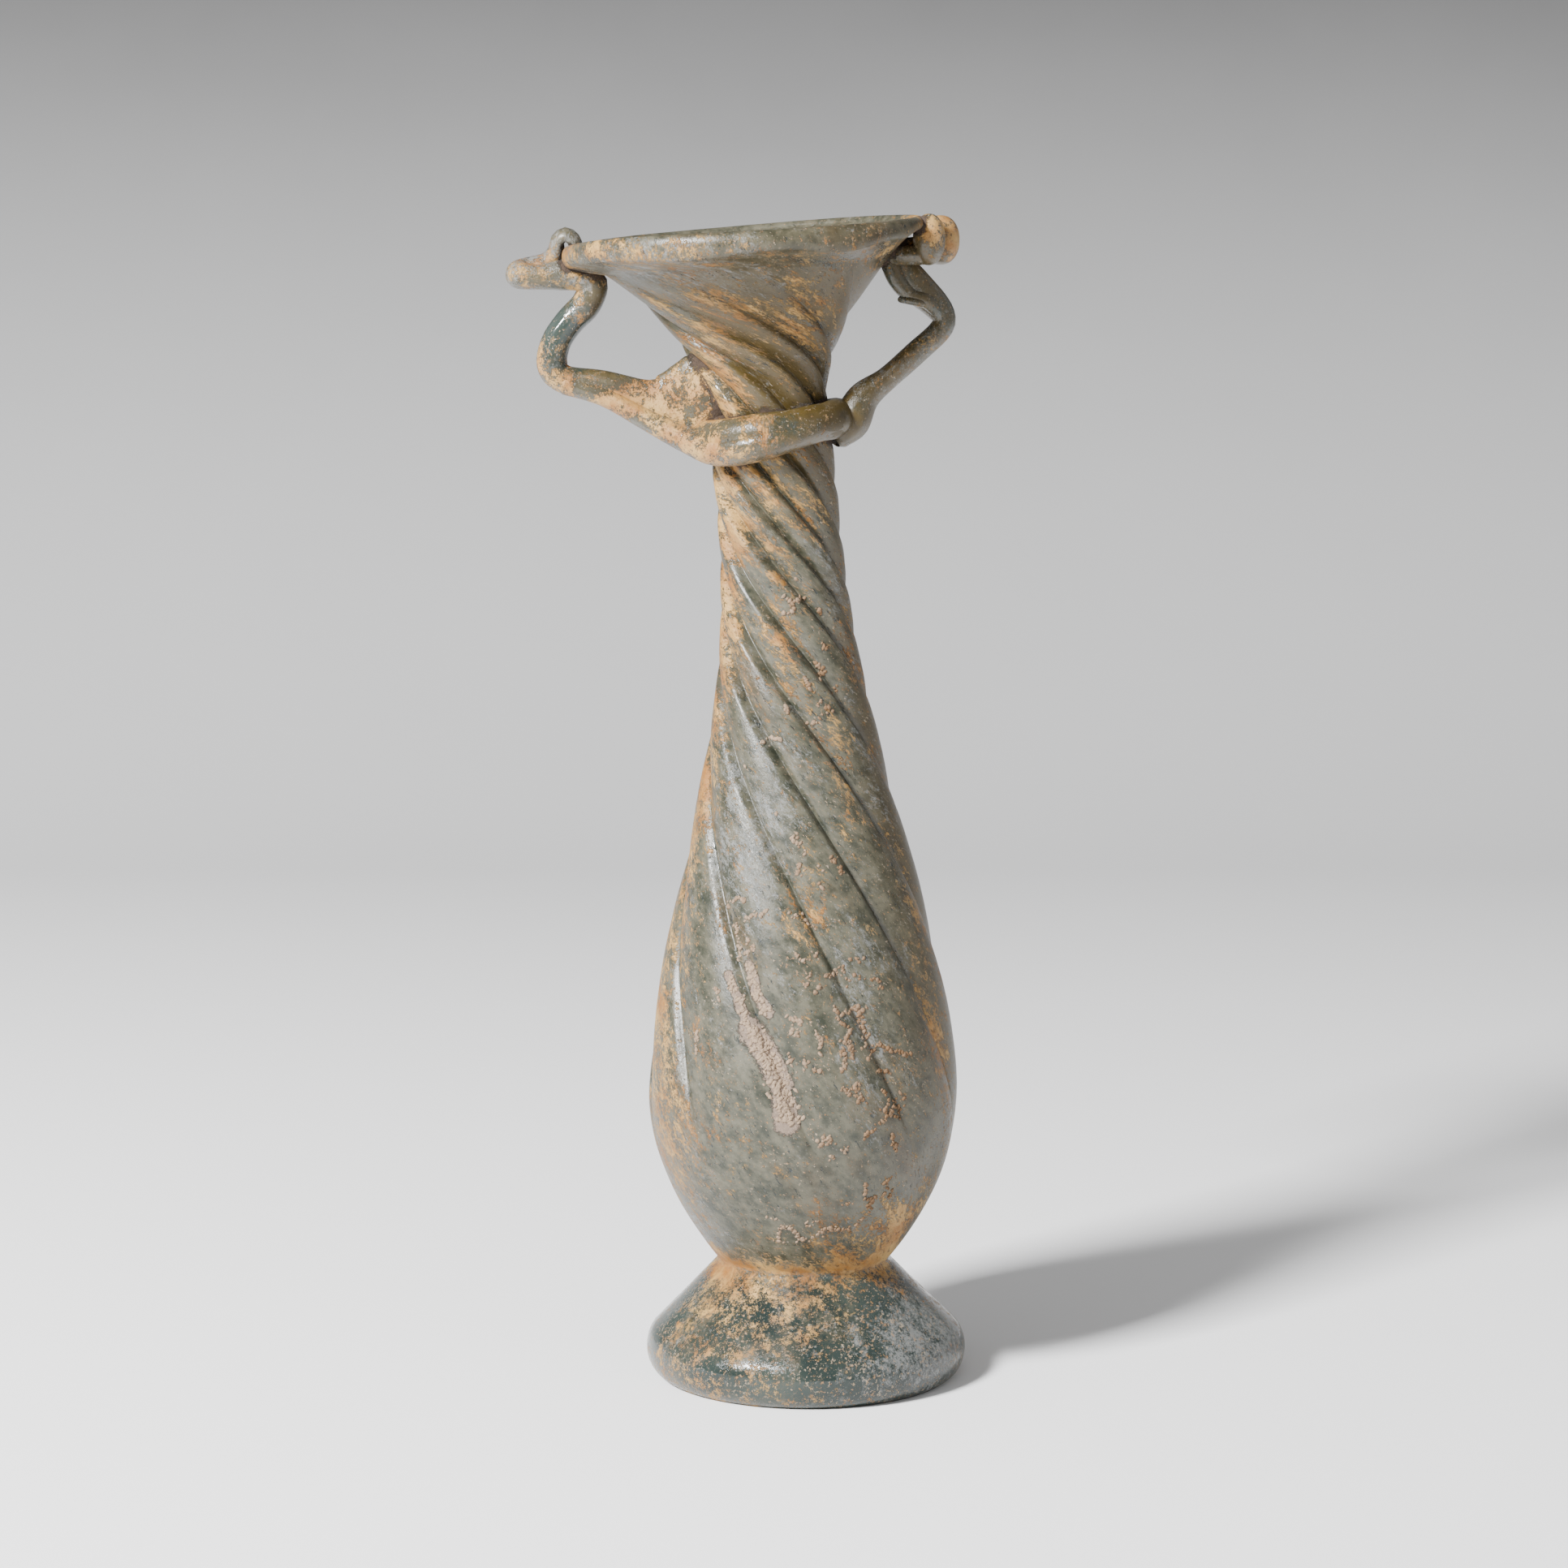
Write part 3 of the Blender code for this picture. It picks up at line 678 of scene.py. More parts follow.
# %% Patches: angle, height, half angle, half height, amount
PATCHES = {
    "film": [
        (-172, 60, 26, 34, 0.2), (-165, 128, 32, 20, 0.34), (-168, 95, 20, 22, 0.2), (-150, 146, 26, 8, 0.26),
        (-100, 19, 200, 3.4, 0.32), (-50, 27, 50, 7, 0.19), (-160, 13, 30, 5, 0.20), (140, 174, 30, 14, 0.12),
        (-132, 160, 22, 7, 0.38), (-95, 120, 16, 9, 0.20), (-22, 62, 16, 40, 0.17), (-12, 120, 22, 24, 0.13),
        (180, 157.5, 14, 5, 0.52), (-160, 161, 18, 6, 0.38), (-150, 153, 40, 4, 0.3), (-70, 154, 46, 4, 0.18),
        (0, 166, 14, 9, 0.28), (-95, 140, 20, 12, 0.20), (-50, 144, 34, 7, 0.18), (-80, 117, 18, 7, 0.08),
        (0, 187, 16, 6, 0.30), (-140, 184, 40, 2.5, 0.25), (0, 190, 14, 3, 0.42), (90, 60, 60, 30, 0.22),
        (100, 120, 70, 25, 0.22), (-140, 174, 40, 7, 0.22), (-60, 174, 34, 9, 0.20), (-110, 176, 20, 6, 0.10),
        (-128, 140, 30, 7, 0.26), (180, 182, 14, 4, 0.30), (-30, 185, 30, 3, 0.12), (-85, 84, 8, 14, 0.18),
        (-148, 40, 16, 14, 0.20), (-60, 100, 8, 16, 0.20),
    ],
    # Pale patches: partly silvery weathering, partly painted sheen and highlights
    "pale": [
        (-112, 86, 12, 12, 0.22), (-130, 92, 12, 14, 0.22), (-66, 66, 12, 20, 0.2), (-100, 110, 26, 20, 0.16),
        (-130, 182, 40, 5, 0.30), (-40, 8, 30, 8, 0.42), (-40, 100, 14, 40, 0.12), (60, 90, 60, 40, 0.25),
        (0, 163, 8, 5, 0.30), (0, 187, 16, 5, 0.20), (180, 183, 14, 4, 0.42), (-168, 148, 20, 5, 0.30),
        (-160, 30, 20, 20, 0.16),
    ],
    "bare": [
        (-40, 12, 26, 9, 0.45), (180, 9, 16, 8, 0.55), (-35, 90, 18, 30, 0.20), (-50, 183, 26, 3, 0.50),
        (-60, 5, 60, 4, 0.30), (180, 172, 9, 8, 0.45), (0, 176, 8, 7, 0.30), (-66, 156, 24, 2, 0.25),
    ],
    # Stain patches: partly an amber tone of the glass, partly painted shade under the mouth, below the coil
    # and down the right side
    "amber_and_shade": [
        (-60, 174, 60, 12, 0.95), (-20, 168, 30, 12, 0.60), (-100, 168, 34, 9, 0.75), (-10, 100, 30, 70, 1.0),
        (-80, 156, 60, 4.5, 0.90), (-50, 150, 60, 6, 0.70), (180, 172, 10, 7, 0.90), (0, 172, 8, 12, 0.50),
        (90, 150, 90, 30, 0.35), (-80, 162, 40, 5, 0.60),
    ],
}


def painted(name, angle, height):
    """Sum of a fact's patches at an angle in degrees and a height in millimetres."""
    total = 0.0
    for middle, level, half_angle, half_height, amount in PATCHES[name]:
        turn = (angle - middle + 180.0) % 360.0 - 180.0
        total += amount * exp(-(turn / half_angle) ** 2 - ((height - level) / half_height) ** 2)
    return total


# %% Streaks of pale earth: half width in millimetres, then angle and height of each station
STREAKS = [
    (1.0, (-113, 71.6), (-109, 66.6), (-104, 64.3)),
    (1.9, (-111, 61.5), (-105, 57.9), (-100, 55.1), (-98, 51.5), (-96, 46.9)),
    (0.8, (-122, 69.7), (-117, 66.4), (-114, 63.8), (-109, 60.5)),
]
NO_EARTH = -0.6


def mm_per_degree(height):
    """Millimetres round the wall for one degree, at a height in millimetres."""
    return 1000.0 * radians(1.0) * blown_radius(0.001 * height)


def apart(one, other, height):
    """How far two places on the wall are apart, across and up, in millimetres."""
    return mm_per_degree(height) * (other[0] - one[0]), other[1] - one[1]


def from_segment(spot, one, other):
    """Distance in millimetres over the belly from a spot to a segment."""
    along_x, along_y = apart(one, other, spot[1])
    x, y = apart(one, spot, spot[1])
    way = share(0.0, along_x ** 2 + along_y ** 2, x * along_x + y * along_y)
    return hypot(x - way * along_x, y - way * along_y)


def earth_at(angle, height):
    """How thick the earth lies at a point of the wall."""
    best = NO_EARTH
    if 40.0 < height < 80.0 and -140.0 < angle < -80.0:
        for half_width, *ends in STREAKS:
            for one, other in zip(ends, ends[1:]):
                best = max(best, 1.25 - 0.75 * from_segment((angle, height), one, other) / half_width)
    return best


# %% How deep in a corner between a trail and the wall each point lies
CORNER_REACH = 0.0011


def corners():
    """1 where the wall meets a trail, fading to 0 over a short reach."""
    faces = {True: [], False: []}
    for face in glass.faces:
        faces[glass.facts[face[0]]["kind"] == "trail"].append(face)
    trees = {kind: BVHTree.FromPolygons(glass.points, faces[kind]) for kind in faces}
    values = []
    for point, facts in zip(glass.points, glass.facts):
        distance = trees[facts["kind"] != "trail"].find_nearest(point, 3.0 * CORNER_REACH)[3]
        if distance is None:
            distance = 3.0 * CORNER_REACH
        values.append(exp(-(distance / CORNER_REACH) ** 1.5))
    return values


# %% Make the glass object and write its attributes
def new_object(name, points, faces):
    """A smooth mesh object in the scene."""
    mesh = bpy.data.meshes.new(name)
    mesh.from_pydata([tuple(point) for point in points], [], faces)
    mesh.validate()
    mesh.shade_smooth()
    thing = bpy.data.objects.new(name, mesh)
    bpy.context.scene.collection.objects.link(thing)
    return thing


def write_fact(thing, name, values):
    thing.data.attributes.new(name, "FLOAT", "POINT").data.foreach_set("value", values)


foot_centre = Vector((foot_x, 0.0, 0.0))
vase = new_object("blown_glass", [point + foot_centre for point in glass.points], glass.faces)
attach(vase, "root")
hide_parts("glass_vase")
straight = vase.data.attributes.new("straight", "FLOAT_VECTOR", "POINT")
straight.data.foreach_set("vector", [value for facts in glass.facts for value in facts["straight"]])
write_fact(vase, "crease_gap", [facts["gap"] for facts in glass.facts])
write_fact(vase, "rib", [facts["rib"] for facts in glass.facts])
write_fact(vase, "trail", [float(facts["kind"] == "trail") for facts in glass.facts])
write_fact(vase, "foot", [float(facts["kind"] in ("foot", "under")) for facts in glass.facts])
write_fact(vase, "flaked", [smooth(0.085, 0.125, point.z) for point in glass.points])
write_fact(vase, "corner", corners())
spots = [(degrees(atan2(point.y, point.x - axis_x(point.z))), 1000.0 * point.z)
         for point in glass.points]
for name in PATCHES:
    write_fact(vase, name, [painted(name, angle, height) for angle, height in spots])
write_fact(vase, "earth", [earth_at(angle, height) for angle, height in spots])
triangles = sum(len(polygon.vertices) - 2 for polygon in vase.data.polygons)
print("Glass: %d points, %d triangles" % (len(vase.data.vertices), triangles))

# %% [markdown]
# ## Crust of burial earth
#
# Hard crumbs of earth cling to the front in broken chains, like worm casts. A particle system could
# scatter them, but they follow lines, so each chain is walked from station to station, and lumpy crumbs
# are set down on the way, a third of a millimetre apart. The pale streaks get a scatter of crumbs too.

# %% Chains of crumbs: angle and height of each station
CHAINS = [
    (-102, 95.3, -98, 95.5), (-94, 91.8, -92, 90.8, -89, 90.5, -89, 89.1), (-86, 89.3, -87, 88.3),
    (-91, 87.2, -89, 86.7, -91, 85.8, -89, 85.3), (-81, 87.1, -79, 87.6),
    (-74, 88.3, -71, 87.9, -69, 86.9, -68, 85.5), (-80, 84, -78, 83.2),
    (-128, 80.2, -125, 81.1, -121, 81.7, -116, 81.4), (-116, 78.7, -111, 79.1, -107, 79.4, -105, 80.3),
    (-122, 77.8, -120, 76.5, -121, 75, -118, 73.5, -119, 71.4), (-114, 75.3, -111, 74, -116, 72.9),
    (-95, 79.5, -89, 79.2, -87, 78.5, -83, 77.2), (-92, 73.6, -90, 72.6, -88, 72.3, -83, 73.6),
    (-74, 71.4, -75, 70.3, -81, 69.9), (-86, 70.6, -87, 69.3, -88, 68.6), (-85, 67.6, -82, 68.7),
    (-69, 72.3, -63, 71.9), (-72, 70.7, -69, 68.6, -71, 67.9), (-67, 69.9, -62, 69.3),
    (-59, 69.4, -57, 68.3, -56, 67.3), (-77, 65.4, -76, 63.1, -71, 61.6, -74, 59.6, -71, 58.2),
    (-65, 64.4, -67, 62, -63, 60.6, -66, 58.3), (-74, 64, -69, 64.4, -66, 64.8, -64, 62.3),
    (-97, 64.2, -93, 63.2, -95, 61.4, -91, 60.8), (-92, 63.9, -90, 62.2), (-86, 61.2, -83, 60.5, -84, 57.4),
    (-90, 57.1, -89, 56, -83, 55.3), (-95, 57.3, -94, 55.6), (-75, 59.7, -75, 58, -74, 56.6, -76, 54.9),
    (-72, 59.9, -72, 56.2), (-65, 56.6, -59, 58.7, -56, 57.9, -45, 56.4), (-61, 54.7, -54, 54),
    (-74, 51.8, -69, 53), (-70, 51, -66, 49.8), (-60, 51.6, -57, 49.7, -59, 48.4, -54, 46.7),
    (-51, 50.8, -49, 48.9, -53, 47.4), (-135, 60.1, -135, 56.4), (-127, 68.2, -125, 65.5),
    (-86, 43.8, -81, 44.6, -80, 43.4, -85, 43.2), (-80, 41.4, -78, 40.9), (-76, 42.1, -72, 42.8),
    (-76, 52.6, -72, 51.3, -69, 50.1), (-67, 44.8, -63, 45.5), (-61, 46.3, -53, 49.6),
    (-53, 49.6, -51, 47.2), (-56, 44.0, -54, 42.4, -55, 41.2), (-53, 37.2, -56, 35.9, -54, 34.6, -57, 33.1),
    (-52, 34.4, -53, 32.8), (-60, 33.8, -62, 32.4, -59, 31.0), (-63, 30.2, -66, 28.9),
    (-66, 36.5, -64, 33.9, -59, 32.8), (-73, 32.9, -69, 32.8),
    (-103, 26.4, -100, 28.7, -95, 28.8, -93, 27, -88, 26.6, -82, 27.9, -80, 28.7, -66, 27.9),
    (-88, 29.3, -83, 30.1), (-104, 30.4, -102, 30.5), (-78, 132.2, -77, 131.5),
    (-90, 129.5, -82, 128.4, -74, 129.3, -68, 128.3), (-95, 126.3, -83, 127.4, -82, 128.1),
    (-58, 126.9, -55, 126.3), (-62, 122.1, -59, 121.4, -55, 120.7),
    (-67, 118.6, -63, 117.9, -58, 117.2, -66, 115.9), (-79, 116.7, -77, 115.7, -75, 114.3, -75, 113.3),
    (-71, 111.9, -67, 112.9, -64, 111.8, -67, 110.5, -72, 109.4, -79, 109.1), (-95, 111.9, -92, 110.9),
    (-115, 106, -105, 107.1, -99, 106.8), (-50, 115, -50, 114), (-125, 102.4, -121, 102.1),
]


# %% Set the crumbs on the wall
CRUMB_STEP = 0.32
CRUMB_SCATTER = 0.16
CHAIN_GAPS = 0.24
EARTH_CRUMBS = 10.0
wall_tree = BVHTree.FromPolygons(glass.points, glass.faces)
ball = bmesh.new()
bmesh.ops.create_icosphere(ball, subdivisions=2, radius=1.0)
BALL_POINTS = [vertex.co.copy() for vertex in ball.verts]
BALL_FACES = [tuple(vertex.index for vertex in face.verts) for face in ball.faces]
ball.free()
dice = random.Random(11)
crust_points, crust_faces, crust_warmth = [], [], []


def crumb(angle, height, size, pale=False):
    """One lumpy crumb, half sunk in the wall; redder towards the right."""
    away = outward(radians(angle))
    start = Vector((axis_x(0.001 * height), 0.0, 0.001 * height)) + away * 0.06
    spot, normal, _, _ = wall_tree.ray_cast(start, -away)
    if spot is None:
        return
    side = normal.orthogonal().normalized()
    other = normal.cross(side)
    shift = Vector((dice.uniform(0, 90), dice.uniform(0, 90), 0.0))
    stretch = dice.uniform(0.75, 1.35)
    warmth = 0.0 if pale else 0.3 + 0.6 * share(-100.0, -50.0, angle) + dice.uniform(-0.2, 0.2)
    first = len(crust_points)
    for corner in BALL_POINTS:
        lumpy = 0.001 * size * (1.0 + 0.55 * noise.noise(corner * 1.6 + shift))
        crust_points.append(spot + foot_centre + side * (corner.x * lumpy * stretch)
                            + other * (corner.y * lumpy / stretch) + normal * (corner.z * 0.62 * lumpy))
        crust_warmth.append(warmth)
    crust_faces.extend(tuple(first + index for index in face) for face in BALL_FACES)


def part_way(one, other, way):
    return one[0] + way * (other[0] - one[0]), one[1] + way * (other[1] - one[1])


for numbers in CHAINS:
    ends = list(zip(numbers[0::2], numbers[1::2]))
    for one, other in zip(ends, ends[1:]):
        count = max(1, round(hypot(*apart(one, other, one[1])) / CRUMB_STEP))
        for k in range(count):
            angle, height = part_way(one, other, k / count)
            height += dice.gauss(0.0, CRUMB_SCATTER)
            angle += dice.gauss(0.0, CRUMB_SCATTER) / mm_per_degree(height)
            if dice.random() < CHAIN_GAPS:
                continue
            crumb(angle, height, dice.uniform(0.18, 0.44))
            if dice.random() < 0.45:
                aside = dice.uniform(-0.9, 0.9) / mm_per_degree(height)
                crumb(angle + aside, height + dice.uniform(-0.8, 0.8), dice.uniform(0.12, 0.30))
for half_width, *ends in STREAKS:
    for one, other in zip(ends, ends[1:]):
        for _ in range(round(EARTH_CRUMBS * hypot(*apart(one, other, one[1])) * half_width)):
            angle, height = part_way(one, other, dice.random())
            angle += dice.gauss(0.0, 0.50) * half_width / mm_per_degree(one[1])
            crumb(angle, height + dice.gauss(0.0, 0.3), dice.uniform(0.16, 0.42), pale=True)
crust = new_object("burial_crust", crust_points, crust_faces)
write_fact(crust, "warmth", crust_warmth)
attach(crust, "root")
print("Crust: %d crumbs, %d triangles" % (len(crust_faces) // len(BALL_FACES), len(crust_faces)))

# %% [markdown]
# ## Node groups for layers and flecks
#
# Film, haze, scale and earth are all layers that cover part of the glass and end in a ragged, lacy edge.
# One node group makes such a mask from a coverage, a size and a raggedness, and a second one scatters
# flecks. The nodes could be copied into each place by hand, but a group is mended once.

# %% A helper that adds nodes to a tree


class Nodes:
    """Adds nodes to one tree. Any value may be a plain one or another node's socket."""

    def __init__(self, tree):
        self.tree = tree

    def feed(self, socket, value):
        """Links a socket to another one, or sets its plain value."""
        if isinstance(value, bpy.types.NodeSocket):
            self.tree.links.new(value, socket)
        else:
            socket.default_value = value

    def add(self, kind, inputs=(), **settings):
        """A new node. Its settings come first, because they decide which sockets it has."""
        node = self.tree.nodes.new(kind)
        for name, value in settings.items():
            setattr(node, name, value)
        for label, value in dict(inputs).items():
            self.feed(node.inputs[label], value)
        return node

    def math(self, operation, *values):
        return self.add("ShaderNodeMath", enumerate(values), operation=operation).outputs[0]

    def times(self, first, second):
        return self.math("MULTIPLY", first, second)

    def total(self, base, *parts):
        """The base, plus each value times its factor."""
        for value, factor in parts:
            base = self.math("MULTIPLY_ADD", value, factor, base)
        return base

    def scaled(self, vector, factors):
        return self.add("ShaderNodeVectorMath", enumerate((vector, factors)),
                        operation="MULTIPLY").outputs["Vector"]

    def noise(self, vector, scale, detail=4.0, roughness=0.55, distortion=0.0):
        return self.add("ShaderNodeTexNoise", {
            "Vector": vector, "Scale": scale, "Detail": detail,
            "Roughness": roughness, "Distortion": distortion}).outputs["Fac"]

    def ramp(self, value, low, high, start=0.0, end=1.0):
        """Smooth change from start to end while the value goes from low to high."""
        return self.add("ShaderNodeMapRange", {
            "Value": value, "From Min": low, "From Max": high, "To Min": start, "To Max": end},
            interpolation_type="SMOOTHSTEP").outputs["Result"]

    def mix(self, amount, first, second, kind="FLOAT"):
        return self.add("ShaderNodeMix", {"Factor": amount, "A": first, "B": second},
                        data_type=kind).outputs["Result"]

    def tint(self, amount, first, second):
        """Blends two colours; a plain one is given as red, green and blue."""
        opaque = [(*colour, 1.0) if isinstance(colour, tuple) else colour for colour in (first, second)]
        return self.mix(amount, *opaque, "RGBA")

    def fact(self, name, output="Fac"):
        """Reads one of the facts written on the mesh."""
        return self.add("ShaderNodeAttribute", attribute_name=name).outputs[output]

    def group(self, tree, *values):
        """Places a node group, its inputs in order; gives its two outputs."""
        node = self.add("ShaderNodeGroup", enumerate(values), node_tree=tree)
        return node.outputs[0], node.outputs[1]

    def lay(self, mask, colour, rough, cover=1.0):
        """One more coat: its roughness follows the mask, its colour only a share of it."""
        amount = mask if cover == 1.0 else self.times(mask, cover)
        self.colour = self.tint(amount, self.colour, colour)
        self.rough = self.mix(mask, self.rough, rough)

    def bump(self, shader, height):
        """Relief from a height in metres."""
        node = self.add("ShaderNodeBump", {"Distance": 1.0, "Height": height})
        self.feed(shader.inputs["Normal"], node.outputs["Normal"])


def new_group(name, inputs, outputs):
    """The helper, the inputs and the outputs of a new node group."""
    group = bpy.data.node_groups.new(name, "ShaderNodeTree")
    for label in inputs:
        kind = "NodeSocketVector" if label.endswith("Vector") else "NodeSocketFloat"
        group.interface.new_socket(label, in_out="INPUT", socket_type=kind)
    for label in outputs:
        group.interface.new_socket(label, in_out="OUTPUT", socket_type="NodeSocketFloat")
    return Nodes(group), group.nodes.new("NodeGroupInput").outputs, group.nodes.new("NodeGroupOutput").inputs


def new_material(name):
    """A material with the helper for its tree, and its shader."""
    material = bpy.data.materials.new(name)
    material.use_nodes = True
    return material, Nodes(material.node_tree), material.node_tree.nodes["Principled BSDF"]


# %% The patchy layer group
MIDDLE_LACE = 4.5
FINE_LACE = 15.0


def patchy_layer_group():
    """A layer with a ragged, lacy edge, and its height; the grain vector is that of the lace."""
    inputs = ("Vector", "Grain Vector", "Coverage", "Scale", "Raggedness", "Edge")
    n, given, result = new_group("patchy layer", inputs, ("Mask", "Height"))
    scale, grain, edge = given["Scale"], given["Grain Vector"], given["Edge"]
    broad = n.noise(given["Vector"], scale, 3.0, 0.5, 0.5)
    middle = n.noise(grain, n.times(scale, MIDDLE_LACE), 3.0, 0.6, 0.3)
    fine = n.noise(grain, n.times(scale, FINE_LACE), 4.0, 0.75)
    both = n.mix(given["Raggedness"], broad, n.mix(0.55, middle, fine))
    limit = n.total(0.70, (given["Coverage"], -0.40))
    mask = n.ramp(both, n.math("SUBTRACT", limit, edge), n.math("ADD", limit, edge))
    n.feed(result["Mask"], mask)
    n.feed(result["Height"], n.times(fine, mask))
    return n.tree


PATCHY = patchy_layer_group()


# %% The fleck group
def fleck_group():
    """Small flecks, thick on the ground where the density is high."""
    n, given, result = new_group("flecks", ("Vector", "Density", "Scale"), ("Mask", "Hue"))
    where, scale = given["Vector"], given["Scale"]
    cloud = n.noise(where, n.times(scale, 0.12), 3.0, 0.6)
    dust = n.noise(where, scale, 3.0, 0.75)
    limit = n.total(0.80, (n.total(given["Density"], (cloud, 0.5)), -0.40))
    n.feed(result["Mask"], n.ramp(dust, limit, n.math("ADD", limit, 0.05)))
    n.feed(result["Hue"], n.ramp(n.noise(where, n.times(scale, 0.35), 1.0), 0.3, 0.7))
    return n.tree


FLECKS = fleck_group()
print("Node groups:", [group.name for group in bpy.data.node_groups])

# %% [markdown]
# ## Weathered glass
#
# Under everything is dark green glass. Over it, from the oldest to the newest, lie a grey-green haze where
# the surface has dulled, silvery scale that also paints sheen and highlights, tan film, pale earth, and brown
# dirt with painted shade in the corners. The haze is thinner in the creases as painted shade, and turns amber
# with painted shade under the mouth, below the coil and down the right side. The coats could be painted one
# by one. The material stacks the same coats, each with its own colour, roughness and height, so that a gap in
# one shows the one below.

# %% Colours of the layers, each pair from dark to light
GLASS = (0.010, 0.018, 0.016), (0.028, 0.040, 0.034)
HAZE = (0.020, 0.023, 0.014), (0.092, 0.086, 0.058)
HAZE_BROWN = (0.070, 0.042, 0.015)
# Amber of the stained haze, which also stands for painted shade
AMBER = (0.014, 0.010, 0.003), (0.088, 0.058, 0.013)
# Grey of the silvery scale; where the pale patches raise it, it is painted sheen and highlight
SILVER_AND_SHEEN = (0.19, 0.195, 0.19)
CREAM = (0.25, 0.120, 0.035), (0.33, 0.27, 0.19)
FILM = (0.235, 0.094, 0.011), (0.395, 0.238, 0.072)
CHIP = (0.020, 0.031, 0.027)
PIT = (0.014, 0.021, 0.023)
EARTH = (0.13, 0.085, 0.060), (0.34, 0.26, 0.20)
# Brown in the corners between trails and wall: partly dirt, partly painted shade
DIRT_AND_CORNER_SHADE = (0.014, 0.008, 0.005), (0.095, 0.056, 0.032)
PALE_CRUMB = (0.15, 0.097, 0.062), (0.36, 0.272, 0.190)
WARM_CRUMB = (0.065, 0.034, 0.015), (0.21, 0.121, 0.060)
SOOT = (0.06, 0.045, 0.035)


# %% Build the weathered glass
def weathered_glass():
    material, n, shader = new_material("weathered_glass")
    here = n.fact("straight", "Vector")
    streaks = n.scaled(here, (1.0, 1.0, 0.38))
    grain = n.scaled(here, (1.0, 1.0, 0.80))
    names = ("trail", "foot", "bare", "pale", "flaked")
    trail, foot, bare, silvering_and_sheen, flaked = [n.fact(name) for name in names]
    near_crease = n.times(n.ramp(n.fact("crease_gap"), 0.10, 0.62, 1.0, 0.0), n.fact("rib"))
    # The creases are painted darker: less haze and film there show the dark glass as painted shade
    crease_shade = n.times(near_crease, n.ramp(n.noise(here, 110.0, 3.0), 0.32, 0.50))

    # Dark glass, with slow changes of its green
    n.colour = n.tint(n.ramp(n.noise(here, 60.0, 3.0), 0.35, 0.65), *GLASS)
    n.rough = 0.09

    # Grey-green haze over most of it, less on the foot and where it is bare, and less in the creases as
    # painted shade
    haze_cover = n.total(1.02, (foot, -0.62), (trail, -0.26), (bare, -1.0), (crease_shade, -0.28))
    haze, haze_height = n.group(PATCHY, streaks, grain, haze_cover, 130.0, 0.5, 0.10)
    mottle = n.noise(here, 380.0, 6.0, 0.7)
    brown = n.ramp(n.noise(streaks, 75.0, 4.0, 0.6), 0.52, 0.70)
    haze_colour = n.tint(n.times(brown, 0.55), n.tint(n.ramp(mottle, 0.33, 0.67), *HAZE), HAZE_BROWN)
    # Amber haze on the trails and in the stain patches, partly the glass's tone and partly painted shade
    amber_and_shade_amount = n.total(0.0, (n.fact("amber_and_shade"), 0.9), (trail, 0.42))
    haze_colour = n.tint(amber_and_shade_amount, haze_colour, n.tint(mottle, *AMBER))
    n.lay(haze, haze_colour, n.mix(mottle, 0.22, 0.46))

    # Silvery scale in fine flecks, on the haze; the pale patches add more of it as painted sheen and
    # highlights
    scale_and_sheen_cover = n.total(0.22, (silvering_and_sheen, 0.9))
    scale, scale_and_sheen_height = n.group(PATCHY, streaks, grain, scale_and_sheen_cover, 240.0, 0.7, 0.06)
    n.lay(scale, SILVER_AND_SHEEN, 0.30, cover=0.70)

    # Cream and dark flecks all over
    cream, cream_hue = n.group(FLECKS, here, n.total(0.22, (foot, 0.10)), 1900.0)
    n.lay(cream, n.tint(cream_hue, *CREAM), 0.60, cover=0.8)

    # Tan film: ragged sheets, with a fine dusting round them and holes in both
    film_cover = n.total(n.fact("film"), (crease_shade, -0.16), (foot, -0.14))
    sheet_cover = n.total(0.20, (film_cover, 0.95))
    dust_cover = n.total(0.26, (film_cover, 1.0), (trail, -0.14))
    sheet, sheet_height = n.group(PATCHY, streaks, grain, sheet_cover, 118.0, n.mix(trail, 0.56, 0.42), 0.022)
    dust, dust_height = n.group(PATCHY, streaks, grain, dust_cover, 150.0, 0.80, 0.03)
    holes, _ = n.group(PATCHY, grain, here, n.total(0.20, (flaked, 0.24)), 230.0, 0.58, 0.020)
    whole = n.math("MAXIMUM", sheet, n.times(dust, 0.85))
    film = n.times(whole, n.total(1.0, (holes, -0.92)))
    film_height = n.times(n.math("MAXIMUM", sheet_height, dust_height), film)
    film_colour = n.tint(n.ramp(n.noise(here, 170.0, 5.0, 0.65), 0.34, 0.66), *FILM)
    n.lay(n.times(n.times(whole, holes), flaked), CHIP, 0.16, cover=0.75)
    n.lay(film, film_colour, 0.52)

    # On the foot the film has broken up into a dense speckle
    speckle_cover = n.total(0.42, (bare, -0.6), (silvering_and_sheen, -0.5))
    speckle = n.times(n.group(PATCHY, here, here, speckle_cover, 330.0, 0.66, 0.03)[0], foot)
    n.lay(speckle, film_colour, 0.50)

    # Dark pits where the film has flaked off
    pits, _ = n.group(FLECKS, streaks, 0.16, 1300.0)
    n.lay(pits, PIT, 0.25, cover=0.8)

    # Pale earth in its streak, and brown dirt with painted shade in the corners between the trails and the
    # wall
    crumbly = n.noise(here, 1100.0, 5.0, 0.75)
    earth, _ = n.group(PATCHY, here, here, n.fact("earth"), 300.0, 0.55, 0.03)
    n.lay(earth, n.tint(crumbly, *EARTH), 0.95)
    corner_dirt_and_shade, _ = n.group(PATCHY, here, here, n.total(-0.08, (n.fact("corner"), 0.85)), 330.0, 0.6, 0.04)
    n.lay(corner_dirt_and_shade, n.tint(crumbly, *DIRT_AND_CORNER_SHADE), 0.90)

